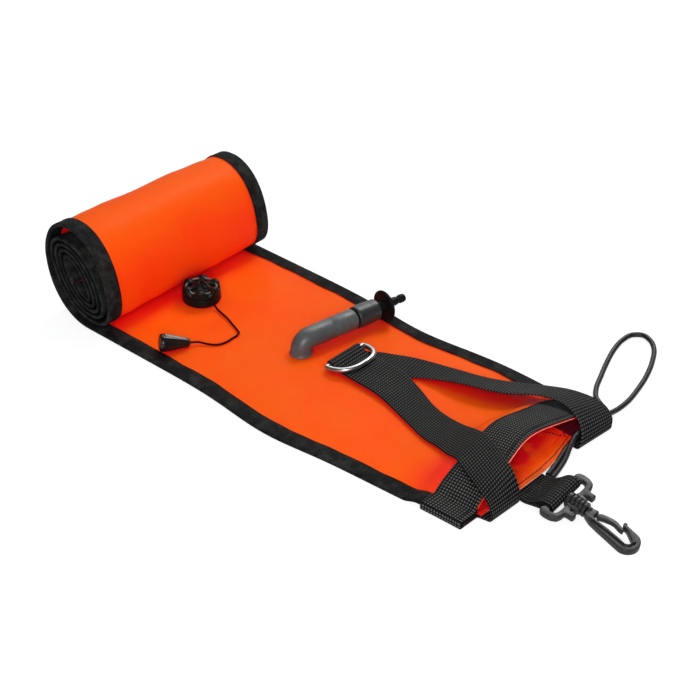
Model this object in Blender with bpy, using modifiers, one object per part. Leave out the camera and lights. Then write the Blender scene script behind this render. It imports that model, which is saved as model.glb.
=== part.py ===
# Surface marker buoy, lying partly unrolled: a flat tube of coated cloth with webbing-bound edges, rolled up
# at its top end. The open mouth carries a webbing band, a harness strap with a D-ring, an elastic loop and a
# swivel hook. A dump valve and an oral inflator stand on the front panel.
# X runs along the tube towards the mouth, Y across it, Z up. The origin is on the underside, on the centreline.
import math
import bpy
import bmesh
from mathutils import Matrix, Vector

MM = 0.001
GAP = 0.3 * MM

# Tube of cloth
MOUTH_X = 160 * MM
TUBE_WIDTH = 157 * MM
PANEL_THICKNESS = 0.4 * MM
TAPE_THICKNESS = 0.5 * MM
BINDING_WIDTH = 12 * MM
PILLOW = 2.0 * MM
SIDE_BOW = 6.2 * MM
SIDE_BOW_X = 4 * MM
SIDE_BOW_REACH = 45 * MM
RAW_EDGE = 0.8 * MM

# Open mouth
ARCH_HEIGHT = 17 * MM
ARCH_LENGTH = 95 * MM
ARCH_LEAN = 0.25
MOUTH_DRAW_IN = 3 * MM
MOUTH_SKEW = 10 * MM
MOUTH_SKEW_LENGTH = 60 * MM
BACK_EDGE_BOW = 3 * MM
BACK_EDGE_BOW_Y = -15 * MM
BACK_EDGE_BOW_REACH = 60 * MM
WEBBING_THICKNESS = 1.2 * MM
BAND_WIDTH = 30 * MM
BAFFLE_LENGTH = 80 * MM
BAFFLE_THICKNESS = 0.3 * MM

# Rolled end, as turns of a spiral that starts where the tube leaves the floor
ROLL_X = -178.5 * MM
ROLL_TURNS = 5.2
TURN_STEPS = (22, 18, 16, 14, 12, 3)
OUTER_HALF_LENGTH = 31.4 * MM
OUTER_HALF_HEIGHT = 37.6 * MM
OUTER_LEAN = 0.20
LOOSENESS = 3.2 * MM
DENT = 3.0 * MM
INNER_HALF_LENGTH = 25.6 * MM
INNER_HALF_HEIGHT = 29.5 * MM
INNER_CENTRE_Z = 37 * MM
INNER_LEAN = 0.36
INNER_LEAN_GROWTH = 0.05
PITCH_ALONG = 4.5 * MM
PITCH_UP = 3.85 * MM
ROLL_SQUARENESS = 0.90
ROLL_TAPER = 0.08

# Harness strap and D-ring
STRAP_WIDTH = 29.6 * MM
BIGHT_Y = 8.6 * MM
RING_WIRE = 3.6 * MM
RING_WIDTH = 39.8 * MM
RING_DEPTH = 21 * MM
RING_X = -10 * MM
RING_Y = 9.4 * MM
RING_TILT = math.radians(8)

# Dump valve
VALVE_X = -137 * MM
VALVE_Y = -1 * MM
VALVE_RADIUS = 13.4 * MM
VALVE_BODY_HEIGHT = 5.8 * MM
VALVE_CAP_HEIGHT = 6.3 * MM
VALVE_STUD_RADIUS = 9 * MM
FLANGE_RADIUS = 16.5 * MM
FLANGE_THICKNESS = 1.0 * MM
CORD_RADIUS = 0.6 * MM

# Oral inflator
INFLATOR_X = -37.9 * MM
INFLATOR_Y = -4.1 * MM
INFLATOR_TURN = math.radians(80)
TUBE_RADIUS = 7.2 * MM
TUBE_BASE_RADIUS = 7.9 * MM
TUBE_BORE = 5.0 * MM
TUBE_LENGTH = 44.1 * MM
TUBE_BEND = 7.5 * MM
O_RING_RADIUS = 0.55 * MM
COLLAR_RADIUS = 7.9 * MM
COLLAR_LENGTH = 18.4 * MM
SPIGOT_LENGTH = 7.0 * MM
COLLAR_BORE = 4.4 * MM
SEAT_BORE = 2.6 * MM
STEM_TRAVEL = 4 * MM
NECK_SHOWING = 2.5 * MM
STEM_RADIUS = 4.0 * MM
STEM_ROD_RADIUS = 1.5 * MM
THUMB_DISC_RADIUS = 11 * MM
THUMB_DISC_THICKNESS = 2 * MM
NIPPLE_LENGTH = 16.3 * MM
NIPPLE_RADIUS = 3.0 * MM
NIPPLE_BORE = 1.4 * MM

# Swivel hook on its webbing tab
TAB_WIDTH = 29.6 * MM
TAB_START = Vector((148 * MM, -9.5 * MM, 0))
BAR_CENTRE = Vector((191.6 * MM, -16.9 * MM, 10.8 * MM))
BAR_RADIUS = 2.2 * MM
HOOK_TURN = math.radians(2.5)
HOOK_PITCH = math.radians(8.5)
HOOK_ROLL = math.radians(6)
HOOK_SET = math.radians(-5)
BUCKLE_THICKNESS = 4 * MM
BARREL_START = 7.5 * MM
BARREL_LENGTH = 11 * MM
BARREL_RADIUS = 4.4 * MM
SHANK_RADIUS = 1.9 * MM
HOOK_LENGTH = 38.5 * MM
HOOK_THICKNESS = 4.4 * MM
HOOK_BEND = 8.2 * MM
HOOK_ARM = 5.5 * MM
HOOK_OFFSET = 1.9 * MM
BUNGEE_DIAMETER = 3.6 * MM

# Heights in the flat stack, counted up from the floor side of the binding
STACK = 2 * TAPE_THICKNESS + 2 * PANEL_THICKNESS + 3 * GAP
BACK_H = TAPE_THICKNESS + GAP
FRONT_H = BACK_H + PANEL_THICKNESS + GAP
FRONT_TOP_H = FRONT_H + PANEL_THICKNESS
HALF = TUBE_WIDTH / 2
BASE_LIFT = 2 * WEBBING_THICKNESS + 2 * GAP
ROLL_START_X = ROLL_X + OUTER_LEAN * OUTER_HALF_HEIGHT

for old in list(bpy.data.objects):
    bpy.data.objects.remove(old)
parts = bpy.data.collections.new("surface_marker_buoy")
tools = bpy.data.collections.new("cutters")
bpy.context.scene.collection.children.link(parts)
bpy.context.scene.collection.children.link(tools)


def make_material(name, colour, roughness, metallic=0.0):
    material = bpy.data.materials.new(name)
    material.use_nodes = True
    shader = material.node_tree.nodes["Principled BSDF"]
    shader.inputs["Base Color"].default_value = (*colour, 1)
    shader.inputs["Roughness"].default_value = roughness
    shader.inputs["Metallic"].default_value = metallic
    return material


ORANGE = make_material("orange_cloth", (0.93, 0.09, 0.01), 0.55)
WEBBING = make_material("black_webbing", (0.024, 0.024, 0.022), 0.8)
BLACK = make_material("black_plastic", (0.02, 0.021, 0.021), 0.4)
GREY = make_material("grey_plastic", (0.075, 0.08, 0.08), 0.38)
RUBBER = make_material("black_rubber", (0.012, 0.012, 0.012), 0.7)
CHROME = make_material("chromed_steel", (0.78, 0.78, 0.77), 0.12, 1.0)
STEEL = make_material("spring_steel", (0.55, 0.55, 0.54), 0.3, 1.0)
CORD = make_material("black_cord", (0.015, 0.015, 0.015), 0.7)


def smooth(value):
    value = min(1.0, max(0.0, value))
    return value * value * (3 - 2 * value)


def add_object(name, mesh, material, collection=parts):
    item = bpy.data.objects.new(name, mesh)
    collection.objects.link(item)
    if material:
        mesh.materials.append(material)
    return item


def mesh_from(bm, name, smooth_angle=None):
    mesh = bpy.data.meshes.new(name)
    bmesh.ops.recalc_face_normals(bm, faces=bm.faces)
    bm.to_mesh(mesh)
    bm.free()
    if smooth_angle:
        mesh.shade_smooth()
        mesh.set_sharp_from_angle(angle=math.radians(smooth_angle))
    return mesh


def sheet(name, rows, thickness, material, offset=1.0, closed=False):
    """A skin through rows of points, thickened by Solidify. Unlike rows are joined by one face."""
    bm = bmesh.new()
    lines = [[bm.verts.new(point) for point in row] for row in rows]
    for first, second in zip(lines, lines[1:]):
        if len(first) == len(second):
            count = len(first) if closed else len(first) - 1
            for i in range(count):
                j = (i + 1) % len(first)
                bm.faces.new((first[i], first[j], second[j], second[i]))
        else:
            bm.faces.new(first + second[::-1])
    mesh = bpy.data.meshes.new(name)
    bm.to_mesh(mesh)
    bm.free()
    item = add_object(name, mesh, material)
    skin = item.modifiers.new("thickness", "SOLIDIFY")
    skin.thickness = thickness
    skin.offset = offset
    skin.use_even_offset = True
    return item


def loft(name, rings, material, smooth_angle=None):
    """A closed solid through rings of equal count, capped at both ends."""
    bm = bmesh.new()
    lines = [[bm.verts.new(point) for point in ring] for ring in rings]
    for first, second in zip(lines, lines[1:]):
        for i in range(len(first)):
            j = (i + 1) % len(first)
            bm.faces.new((first[i], first[j], second[j], second[i]))
    bm.faces.new(lines[0][::-1])
    bm.faces.new(lines[-1])
    return add_object(name, mesh_from(bm, name, smooth_angle), material)


def turned(name, profile, material, matrix, steps=32):
    """A profile of (radius, height), down its outer side and up its inner side, turned about its own Z."""
    mesh = bpy.data.meshes.new(name)
    bm = bmesh.new()
    line = [bm.verts.new((radius, 0, height)) for radius, height in profile]
    on_axis = profile[0][0] == 0
    edges = list(zip(line, line[1:]))
    if not on_axis:
        edges.append((line[-1], line[0]))
    for first, second in edges:
        bm.edges.new((first, second))
    bm.to_mesh(mesh)
    bm.free()
    item = add_object(name, mesh, material)
    screw = item.modifiers.new("turn", "SCREW")
    screw.axis = "Z"
    screw.steps = steps
    screw.render_steps = steps
    screw.use_merge_vertices = True
    screw.merge_threshold = 0.0000001
    item.matrix_world = matrix
    return item


def cutter_cylinder(name, radius, depth, matrix, sides=24):
    bm = bmesh.new()
    bmesh.ops.create_cone(bm, cap_ends=True, segments=sides, radius1=radius, radius2=radius, depth=depth)
    item = add_object(name, mesh_from(bm, name), None, tools)
    item.matrix_world = matrix
    item.hide_render = True
    item.display_type = "WIRE"
    return item


def cut(item, cutter, operation="DIFFERENCE"):
    modifier = item.modifiers.new(cutter.name, "BOOLEAN")
    modifier.operation = operation
    modifier.solver = "EXACT"
    modifier.object = cutter


def wire(name, points, radius, material, closed=False, resolution=2):
    """A round wire or cord as a curve through points."""
    data = bpy.data.curves.new(name, "CURVE")
    data.dimensions = "3D"
    data.bevel_depth = radius
    data.bevel_resolution = resolution
    data.use_fill_caps = not closed
    spline = data.splines.new("POLY")
    spline.points.add(len(points) - 1)
    for point, place_at in zip(spline.points, points):
        point.co = (*place_at, 1)
    spline.use_cyclic_u = closed
    item = bpy.data.objects.new(name, data)
    data.materials.append(material)
    parts.objects.link(item)
    return item


def flat_outline(name, outlines, thickness, material):
    """Closed 2D outlines, holes included, extruded about their own plane."""
    data = bpy.data.curves.new(name, "CURVE")
    data.dimensions = "2D"
    data.fill_mode = "BOTH"
    data.extrude = thickness / 2
    for outline in outlines:
        spline = data.splines.new("POLY")
        spline.points.add(len(outline) - 1)
        for point, (x, y) in zip(spline.points, outline):
            point.co = (x, y, 0, 1)
        spline.use_cyclic_u = True
    item = bpy.data.objects.new(name, data)
    parts.objects.link(item)
    return as_mesh(item, material)


def as_mesh(item, material):
    """The same object as a welded mesh, for pieces that are cut or joined."""
    view = bpy.context.evaluated_depsgraph_get()
    view.update()
    mesh = bpy.data.meshes.new_from_object(item.evaluated_get(view))
    bm = bmesh.new()
    bm.from_mesh(mesh)
    bmesh.ops.remove_doubles(bm, verts=bm.verts, dist=0.000001)
    bmesh.ops.recalc_face_normals(bm, faces=bm.faces)
    bm.to_mesh(mesh)
    bm.free()
    name = item.name
    matrix = item.matrix_world.copy()
    item.name = name + "_curve"
    bpy.data.objects.remove(item)
    mesh.materials.clear()
    made = add_object(name, mesh, material)
    made.matrix_world = matrix
    return made


def curve_through(points, steps):
    """A smooth line through hand-chosen points, steps points for each of their spans."""
    line = []
    ends = [2 * points[0] - points[1]] + points + [2 * points[-1] - points[-2]]
    for before, start, end, after in zip(ends, ends[1:], ends[2:], ends[3:]):
        for step in range(steps):
            t = step / steps
            line.append(0.5 * (2 * start + (end - before) * t + (2 * before - 5 * start + 4 * end - after) * t ** 2
                               + (3 * start - before - 3 * end + after) * t ** 3))
    line.append(points[-1])
    return line


def in_mm(points):
    return [Vector(point) * MM for point in points]


# The tube's path, from the mouth to the rolled-in end
def spiral_point(turn):
    blend = smooth((turn - 0.5) / 0.6)
    inner = turn - 1

    def mix(outer, wound):
        return outer * (1 - blend) + wound * blend

    a = mix(OUTER_HALF_LENGTH - 2 * MM * turn, INNER_HALF_LENGTH - PITCH_ALONG * inner)
    b = mix(OUTER_HALF_HEIGHT - 1.5 * MM * turn, INNER_HALF_HEIGHT - PITCH_UP * inner)
    lean = mix(OUTER_LEAN, INNER_LEAN + INNER_LEAN_GROWTH * inner)
    centre_z = mix(OUTER_HALF_HEIGHT, INNER_CENTRE_Z)
    if turn < 1:
        loose = LOOSENESS * math.sin(math.pi * turn) ** 1.5 - DENT * math.exp(-((turn - 0.37) / 0.11) ** 2)
        a += loose
        b += loose
    angle = 2 * math.pi * turn
    across = math.copysign(abs(math.sin(angle)) ** ROLL_SQUARENESS, math.sin(angle))
    upward = math.copysign(abs(math.cos(angle)) ** ROLL_SQUARENESS, math.cos(angle))
    z = centre_z - b * upward
    return ROLL_X - a * across - lean * (z - centre_z), z


def side_shift(x):
    return 1.2 * MM - SIDE_BOW * math.exp(-((x - SIDE_BOW_X) / SIDE_BOW_REACH) ** 2)


def arch_ramp(x):
    return smooth((x - MOUTH_X + ARCH_LENGTH) / ARCH_LENGTH)


def half_width(x):
    return HALF - MOUTH_DRAW_IN * arch_ramp(x)


def panel_half(x):
    return half_width(x) - BINDING_WIDTH - 0.5 * MM


def base_height(x):
    return BASE_LIFT * smooth((x - MOUTH_X + BAND_WIDTH + 16 * MM) / (12 * MM))


def lift(x, y):
    """How far the front panel stands above the flat stack, y counted from the tube's centreline."""
    v = min(1.0, abs(y) / panel_half(x))
    pillow = PILLOW * smooth((x - ROLL_START_X - 3 * MM) / (23 * MM)) * (1 - arch_ramp(x)) * (1 - v ** 4)
    return pillow + ARCH_HEIGHT * arch_ramp(x) * (1 - v * v) ** 0.8


def sag(x, y):
    """How far the back panel hangs down from the stack to the floor."""
    v = abs(y) / (panel_half(x) - 5 * MM)
    return BACK_H * smooth((x - ROLL_START_X) / (6 * MM)) if v <= 1.001 else 0.0


def draw_back(x, y, height):
    """How far a point near the mouth lies back from the mouth's plane."""
    near_mouth = smooth((x - MOUTH_X + MOUTH_SKEW_LENGTH) / MOUTH_SKEW_LENGTH)
    return MOUTH_SKEW * smooth(y / half_width(x)) * near_mouth + ARCH_LEAN * height


class Station:
    """One cross-section of the tube: a point of its floor-side path and the direction to its inside."""

    def __init__(self, x, z, normal, rolled):
        self.x = x
        self.z = z
        self.normal = normal
        self.rolled = rolled
        self.half = HALF if rolled else half_width(x)
        self.inside = self.half - BINDING_WIDTH - 0.5 * MM

    def place(self, y, h, height=0.0, forward=0.0):
        shift = side_shift(ROLL_START_X if self.rolled else self.x)
        if not self.rolled:
            x = self.x - draw_back(self.x, y, height) + forward
            return Vector((x, y + shift, self.z + h))
        scale = 1 - ROLL_TAPER * (y / TUBE_WIDTH + 0.5)
        x = ROLL_START_X + (self.x - ROLL_START_X) * scale + self.normal[0] * h
        return Vector((x, y + shift, self.z * scale + self.normal[1] * h))


MOUTH_STEPS = [-RAW_EDGE] + [RAW_EDGE + BAND_WIDTH * i / 3 for i in range(4)]
MOUTH_STEPS += [BAND_WIDTH + step for step in (4 * MM, 10 * MM, 16 * MM)]
MOUTH_STEPS += [MOUTH_STEPS[-1] + (ARCH_LENGTH - BAND_WIDTH - 16 * MM) * i / 5 for i in range(1, 5)]
FLAT_STEPS = 13
ROLL_RUN_IN = (23 * MM, 14 * MM, 6 * MM, 3 * MM)
flat_xs = [MOUTH_X - step for step in MOUTH_STEPS]
arch_foot = MOUTH_X - ARCH_LENGTH
run_in = ROLL_START_X + ROLL_RUN_IN[0]
flat_xs += [arch_foot + (run_in - arch_foot) * i / FLAT_STEPS for i in range(FLAT_STEPS)]
flat_xs += [ROLL_START_X + step for step in ROLL_RUN_IN]
flat = [Station(x, base_height(x), (0, 1), False) for x in flat_xs]

turns = [whole + i / steps for whole, steps in enumerate(TURN_STEPS[:-1]) for i in range(steps)]
turns += [5 + (ROLL_TURNS - 5) * i / TURN_STEPS[-1] for i in range(TURN_STEPS[-1] + 1)]
roll = []
for turn in turns:
    x, z = spiral_point(turn)
    x_before, z_before = spiral_point(max(0.0, turn - 0.002))
    x_after, z_after = spiral_point(turn + 0.002)
    along = Vector((x_after - x_before, z_after - z_before)).normalized()
    normal = (along[1], -along[0]) if turn > 0 else (0, 1)
    roll.append(Station(x, z, normal, True))
stations = flat + roll


def least_wrap_gap():
    """The smallest clearance between one turn of the roll and the next one in."""
    least = 1.0
    for i, outer in enumerate(roll):
        inner_face = Vector((outer.x + outer.normal[0] * STACK, outer.z + outer.normal[1] * STACK))
        for j in range(i + 8, len(roll) - 1):
            if abs(turns[j] - turns[i] - 1) > 0.4:
                continue
            start = Vector((roll[j].x, roll[j].z))
            run = Vector((roll[j + 1].x, roll[j + 1].z)) - start
            along = min(1.0, max(0.0, (inner_face - start).dot(run) / run.length_squared))
            least = min(least, (inner_face - start - run * along).length)
    return least


print("least gap between turns of the roll: %.2f mm" % (least_wrap_gap() / MM))
rolled_length = sum(math.dist((a.x, a.z), (b.x, b.z)) for a, b in zip(roll, roll[1:]))
print("cloth rolled up: %.0f mm, whole tube: %.0f mm" % (rolled_length / MM,
                                                         (rolled_length + MOUTH_X - ROLL_START_X) / MM))

FRONT_COLUMNS = (-1, -0.85, -0.6, -0.3, 0, 0.3, 0.6, 0.85, 1)


def edge_of(station):
    return station.half - TAPE_THICKNESS - GAP


# Front panel, holed for the two valves
front_rows = []
for station in flat:
    ys = [-edge_of(station)] + [v * station.inside for v in FRONT_COLUMNS] + [edge_of(station)]
    heights = [lift(station.x, y) for y in ys]
    front_rows.append([station.place(y, FRONT_H + height, height) for y, height in zip(ys, heights)])
front_rows += [[station.place(side * edge_of(station), FRONT_H) for side in (-1, 1)] for station in roll]
front_panel = sheet("front_panel", front_rows, PANEL_THICKNESS, ORANGE)

# Back panel, sagging to the floor between the bindings
back_rows = []
for station in flat:
    low = station.inside - 5 * MM
    ys = (-edge_of(station), -station.inside, -low, 0, low, station.inside, edge_of(station))
    row = []
    for y in ys:
        bow = max(0.0, 1 - ((y - BACK_EDGE_BOW_Y) / BACK_EDGE_BOW_REACH) ** 2)
        forward = BACK_EDGE_BOW * bow * smooth((station.x - MOUTH_X + 10 * MM) / (10 * MM))
        row.append(station.place(y, BACK_H - sag(station.x, y), 0, forward))
    back_rows.append(row)
back_rows += [[station.place(side * edge_of(station), BACK_H) for side in (-1, 1)] for station in roll]
back_panel = sheet("back_panel", back_rows, PANEL_THICKNESS, ORANGE)


# Edge bindings: webbing tape folded round both panels, all the way into the roll
def binding_ring(station, side):
    edge = station.half
    folded = [(edge - BINDING_WIDTH, 0), (edge, 0), (edge, STACK), (edge - BINDING_WIDTH, STACK),
              (edge - BINDING_WIDTH, STACK - TAPE_THICKNESS), (edge - TAPE_THICKNESS, STACK - TAPE_THICKNESS),
              (edge - TAPE_THICKNESS, TAPE_THICKNESS), (edge - BINDING_WIDTH, TAPE_THICKNESS)]
    return [station.place(side * y, h) for y, h in folded]


for name, side in (("near_edge_binding", -1), ("far_edge_binding", 1)):
    loft(name, [binding_ring(station, side) for station in stations], WEBBING)

# Binding of the rolled-in top end, between the two edge bindings
tail = roll[-4:]
last = tail[-1]
beyond = Station(last.x - last.normal[1] * 0.8 * MM, last.z + last.normal[0] * 0.8 * MM, last.normal, True)
past_end = Station(last.x - last.normal[1] * 0.3 * MM, last.z + last.normal[0] * 0.3 * MM, last.normal, True)
end_profile = [(station, 0) for station in tail] + [(beyond, 0), (beyond, STACK)]
end_profile += [(station, STACK) for station in tail[::-1]]
end_profile += [(station, STACK - TAPE_THICKNESS) for station in tail] + [(past_end, STACK - TAPE_THICKNESS)]
end_profile += [(past_end, TAPE_THICKNESS)] + [(station, TAPE_THICKNESS) for station in tail[::-1]]
end_half = HALF - BINDING_WIDTH - GAP
loft("top_end_binding", [[station.place(y, h) for station, h in end_profile] for y in (-end_half, end_half)],
     WEBBING)

# Baffle: two inner flaps that close the tube behind its mouth
BAFFLE_STATIONS = [station for station in flat if MOUTH_X - BAFFLE_LENGTH < station.x < MOUTH_X]
lower_rows = []
upper_rows = []
for station in BAFFLE_STATIONS:
    closing = smooth((MOUTH_X - BAND_WIDTH - station.x) / (BAFFLE_LENGTH - BAND_WIDTH - 4 * MM))
    ys = [v * station.inside for v in FRONT_COLUMNS[1:-1]]
    lower_h = BACK_H - sag(station.x, 0) + PANEL_THICKNESS + GAP
    lower_rows.append([station.place(y, lower_h) for y in ys])
    row = []
    for y in ys:
        height = lift(station.x, y)
        open_h = FRONT_H + height - GAP - BAFFLE_THICKNESS
        shut_h = lower_h + BAFFLE_THICKNESS + GAP
        h = open_h + (shut_h - open_h) * closing
        row.append(station.place(y, max(h, shut_h), height))
    upper_rows.append(row)
sheet("baffle_lower", lower_rows, BAFFLE_THICKNESS, ORANGE)
sheet("baffle_upper", upper_rows, BAFFLE_THICKNESS, ORANGE)


# Webbing band round the mouth
def over_edge(station, y):
    """The band's inner face above the front panel, resting on the bindings at the sides."""
    height = lift(station.x, y)
    return max(STACK + GAP, FRONT_TOP_H + height + GAP), height


band_rows = []
for station in flat[1:5]:
    outside = station.half + GAP
    ring = []
    for y in [-outside] + [v * station.inside for v in FRONT_COLUMNS] + [outside]:
        h, height = over_edge(station, y)
        ring.append(station.place(y, h, height))
    ring += [station.place(v * outside, -GAP) for v in FRONT_COLUMNS[::-1]]
    band_rows.append(ring)
sheet("mouth_band", band_rows, WEBBING_THICKNESS, WEBBING, offset=1.0, closed=True)


# What lies on top of the tube at a place seen from above
def cover(x, y):
    flat_x = x
    for _ in range(6):
        across = y - side_shift(flat_x)
        height = lift(flat_x, across)
        flat_x = x + draw_back(flat_x, across, height)
    flat_x = min(flat_x, MOUTH_X)
    across = y - side_shift(flat_x)
    height = lift(flat_x, across)
    top = max(STACK, FRONT_TOP_H + height) if abs(across) > panel_half(flat_x) else FRONT_TOP_H + height
    if flat_x > MOUTH_X - BAND_WIDTH - 2 * MM:
        top = max(STACK, FRONT_TOP_H + height) + GAP + WEBBING_THICKNESS
    return base_height(flat_x) + top


# D-ring: a straight bar in the strap's bight and a rounded bow that lies on the strap
BAR_Z = FRONT_TOP_H + PILLOW + 2 * GAP + WEBBING_THICKNESS + RING_WIRE / 2
RING_BEND = 3 * MM
ring_half = (RING_WIDTH - RING_WIRE) / 2
ring_reach = RING_DEPTH - RING_WIRE
ring_points = []
RING_STEPS = 22
for i in range(RING_STEPS + 1):
    angle = math.pi * (i / RING_STEPS - 0.5)
    bow_y = math.copysign(abs(math.sin(angle)) ** 0.77, math.sin(angle)) * ring_half
    ring_points.append(Vector((max(0.0, math.cos(angle)) ** 0.77 * ring_reach, bow_y, 0)))
ring_points += [Vector((0, ring_half * (1 - 2 * i / 6), 0)) for i in range(1, 6)]
hinge = bpy.data.objects.new("d_ring_axis", None)
parts.objects.link(hinge)
hinge.location = (RING_X, RING_Y, BAR_Z)
hinge.rotation_euler = (0, -RING_TILT, 0)
d_ring = wire("d_ring", ring_points, RING_WIRE / 2, CHROME, closed=True, resolution=3)
d_ring.parent = hinge

# Harness strap: one webbing from under the mouth, over its edge, round the D-ring's bar and back
STRAP_COLUMNS = 4
HALF_WEB = WEBBING_THICKNESS / 2
BIGHT_RADIUS = RING_WIRE / 2 + GAP + HALF_WEB
UNDER_END = MOUTH_X - BAND_WIDTH - 2 * MM


def lying(near, far, support):
    """One line across the strap from (x, y, slack) to (x, y, slack), lying over what support says is there."""
    row = []
    for i in range(STRAP_COLUMNS + 1):
        x, y, slack = (start + (end - start) * i / STRAP_COLUMNS for start, end in zip(near, far))
        row.append(Vector((x * MM, y * MM, support(x * MM, y * MM) + GAP + HALF_WEB + slack * MM)))
    return row


def held(near, far):
    """One line across the strap from (x, y, z) to (x, y, z), bridging what is under it."""
    return [(Vector(near) + (Vector(far) - Vector(near)) * i / STRAP_COLUMNS) * MM for i in range(STRAP_COLUMNS + 1)]


def lower_leg(x, y):
    return BAR_Z - BIGHT_RADIUS + HALF_WEB


LOW = HALF_WEB / MM
UNDER = UNDER_END / MM
LEG = (BAR_Z - BIGHT_RADIUS) / MM
near_leg = [
    held((UNDER, -57, LOW), (UNDER, -29, LOW)),
    held((164, -57, LOW), (165, -29.5, LOW)),
    held((168, -56.5, LOW + 0.6), (168.6, -30, LOW + 0.8)),
    held((168.8, -56.5, 3.5), (170, -30.5, 4.5)),
    held((167.6, -56, 7.5), (170, -31, 10)),
    held((165.2, -55, 11), (168, -31, 16)),
    held((162, -54, 12.6), (163.5, -29.5, 20.4)),
    lying((156, -52.5, 1.8), (156.5, -26.5, 1.0), cover),
    lying((147, -48.5, 0.6), (149, -22.5, 0.6), cover),
    lying((136, -43.5, 0.4), (139, -17.5, 0.4), cover),
    lying((126, -39, 1.0), (128, -13, 0.8), cover),
    lying((116, -35, 1.4), (117, -8.5, 1.4), cover),
    lying((105, -31, 1.4), (104, -3.5, 1.6), cover),
    lying((90, -27, 1.2), (88, 1, 1.4), cover),
    lying((72, -20, 1.2), (70, 7, 1.3), cover),
    lying((54, -14, 1.3), (54, 14, 1.5), cover),
    lying((44, -11, 1.5), (44, 18, 1.7), cover),
    lying((34, -9, 0), (34, 21.5, 0), lower_leg),
    lying((23, -8, 0), (22, 23, 0), lower_leg),
    lying((12, -7.5, 0), (11, 23, 0), lower_leg),
    lying((3, -7, 0), (3, 23, 0), lower_leg),
]
ring_x = RING_X / MM
bar_z = BAR_Z / MM
low_y = BIGHT_Y / MM - STRAP_WIDTH / MM / 2
high_y = BIGHT_Y / MM + STRAP_WIDTH / MM / 2
for ahead, height in ((10, -1.25), (8, -0.8), (5.5, 0.5), (3, 2.0)):
    near_leg.append(held((ring_x + ahead, low_y, bar_z + height), (ring_x + ahead, high_y, bar_z + height)))
bight = []
BIGHT_STEPS = 8
BIGHT_SLIP = 2
for i in range(BIGHT_STEPS + 1):
    angle = math.pi * (0.5 + i / BIGHT_STEPS)
    x = (RING_X + BIGHT_RADIUS * math.cos(angle)) / MM
    z = (BAR_Z + BIGHT_RADIUS * math.sin(angle)) / MM
    slip = BIGHT_SLIP * i / BIGHT_STEPS
    bight.append(held((x, low_y + slip, z), (x, high_y + slip, z)))
far_leg = [
    held((-3, -3.5, LEG), (-4, 27, LEG)),
    held((5, 2.5, LEG), (2, 31.5, LEG)),
    held((14, 9, LEG), (11, 36, LEG)),
    held((25, 16.5, LEG), (21, 41, LEG)),
    held((34, 21, LEG), (31, 44.5, LEG)),
    held((46, 25.8, LEG + 2.2), (42, 47, LEG + 0.3)),
    held((60, 29, LEG + 5.2), (56, 50, LEG + 0.9)),
    held((78, 31, LEG + 9.2), (72, 53, LEG + 1.8)),
    held((95, 32, LEG + 12.4), (87, 57, LEG + 3.2)),
    held((109, 36, LEG + 14.2), (101, 63, LEG + 4.6)),
    held((121, 45, LEG + 14.4), (115, 69.5, LEG + 5.6)),
    held((131, 50, LEG + 14.0), (128, 75, LEG + 6.2)),
    held((139, 51.2, LEG + 13.4), (139, 77.5, LEG + 6.2)),
    held((146, 50.5, LEG + 12.4), (148, 78.5, LEG + 5.6)),
    held((154, 48, 14.6), (155, 78, 9.0)),
    held((158.6, 45.5, 12.0), (160, 76, 7.6)),
    held((162, 42.5, 8.5), (163.6, 73.5, 6.0)),
    held((163.4, 40, 5.0), (165.6, 70.5, 4.2)),
    held((163.6, 38.5, 2.6), (166, 68.8, 2.4)),
    held((162.6, 38, LOW + 0.3), (164.4, 68, LOW + 0.3)),
    held((159, 38, LOW), (160, 68, LOW)),
    held((UNDER, 38, LOW), (UNDER, 68, LOW)),
]
sheet("harness_strap", near_leg + bight + far_leg, WEBBING_THICKNESS, WEBBING, offset=0.0)

# Webbing tab that carries the hook, folded round the buckle's bar
tab_run = BAR_CENTRE - TAB_START
tab_run.z = 0
tab_length = tab_run.length
tab_along = tab_run.normalized()
bar_along = Vector((math.cos(HOOK_TURN), math.sin(HOOK_TURN), 0))
bar_across = Vector((-math.sin(HOOK_TURN), math.cos(HOOK_TURN), 0))
TAB_LOOP = BAR_RADIUS + GAP + HALF_WEB
TAB_TOP_END = 19 * MM


def tab_row(along, z, roll_share=1.0, past_bar=0.0):
    """One line across the tab, tipped like the buckle's bar as far as roll_share says."""
    centre = TAB_START + tab_along * along + bar_along * past_bar
    reach = bar_across * TAB_WIDTH / 2
    tip = Vector((0, 0, math.tan(HOOK_ROLL) * TAB_WIDTH / 2 * roll_share))
    centre.z = z
    return (centre - reach - tip, centre + reach + tip)


lower_z = BAR_CENTRE.z - TAB_LOOP
upper_z = BAR_CENTRE.z + TAB_LOOP
tab_rows = [tab_row(0, HALF_WEB, 0), tab_row(17 * MM, HALF_WEB, 0), tab_row(22 * MM, HALF_WEB + 0.2 * MM, 0.1),
            tab_row(30 * MM, HALF_WEB + 0.45 * (lower_z - HALF_WEB), 0.5),
            tab_row(tab_length - 5 * MM, lower_z - 0.6 * MM, 0.9)]
TAB_BEND_STEPS = 8
for i in range(TAB_BEND_STEPS + 1):
    angle = math.pi * (i / TAB_BEND_STEPS - 0.5)
    tab_rows.append(tab_row(tab_length, BAR_CENTRE.z + TAB_LOOP * math.sin(angle), 1, TAB_LOOP * math.cos(angle)))
two_layers = WEBBING_THICKNESS + GAP
tab_rows += [tab_row(tab_length - 4 * MM, upper_z - 0.7 * MM, 0.9),
             tab_row(30 * MM, HALF_WEB + two_layers + 0.45 * (lower_z - HALF_WEB) + 0.6 * MM, 0.5),
             tab_row(24 * MM, HALF_WEB + two_layers + 0.6 * MM, 0.2),
             tab_row(TAB_TOP_END, HALF_WEB + two_layers + 0.15 * MM, 0)]
sheet("hook_tab", tab_rows, WEBBING_THICKNESS, WEBBING, offset=0.0)

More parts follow.
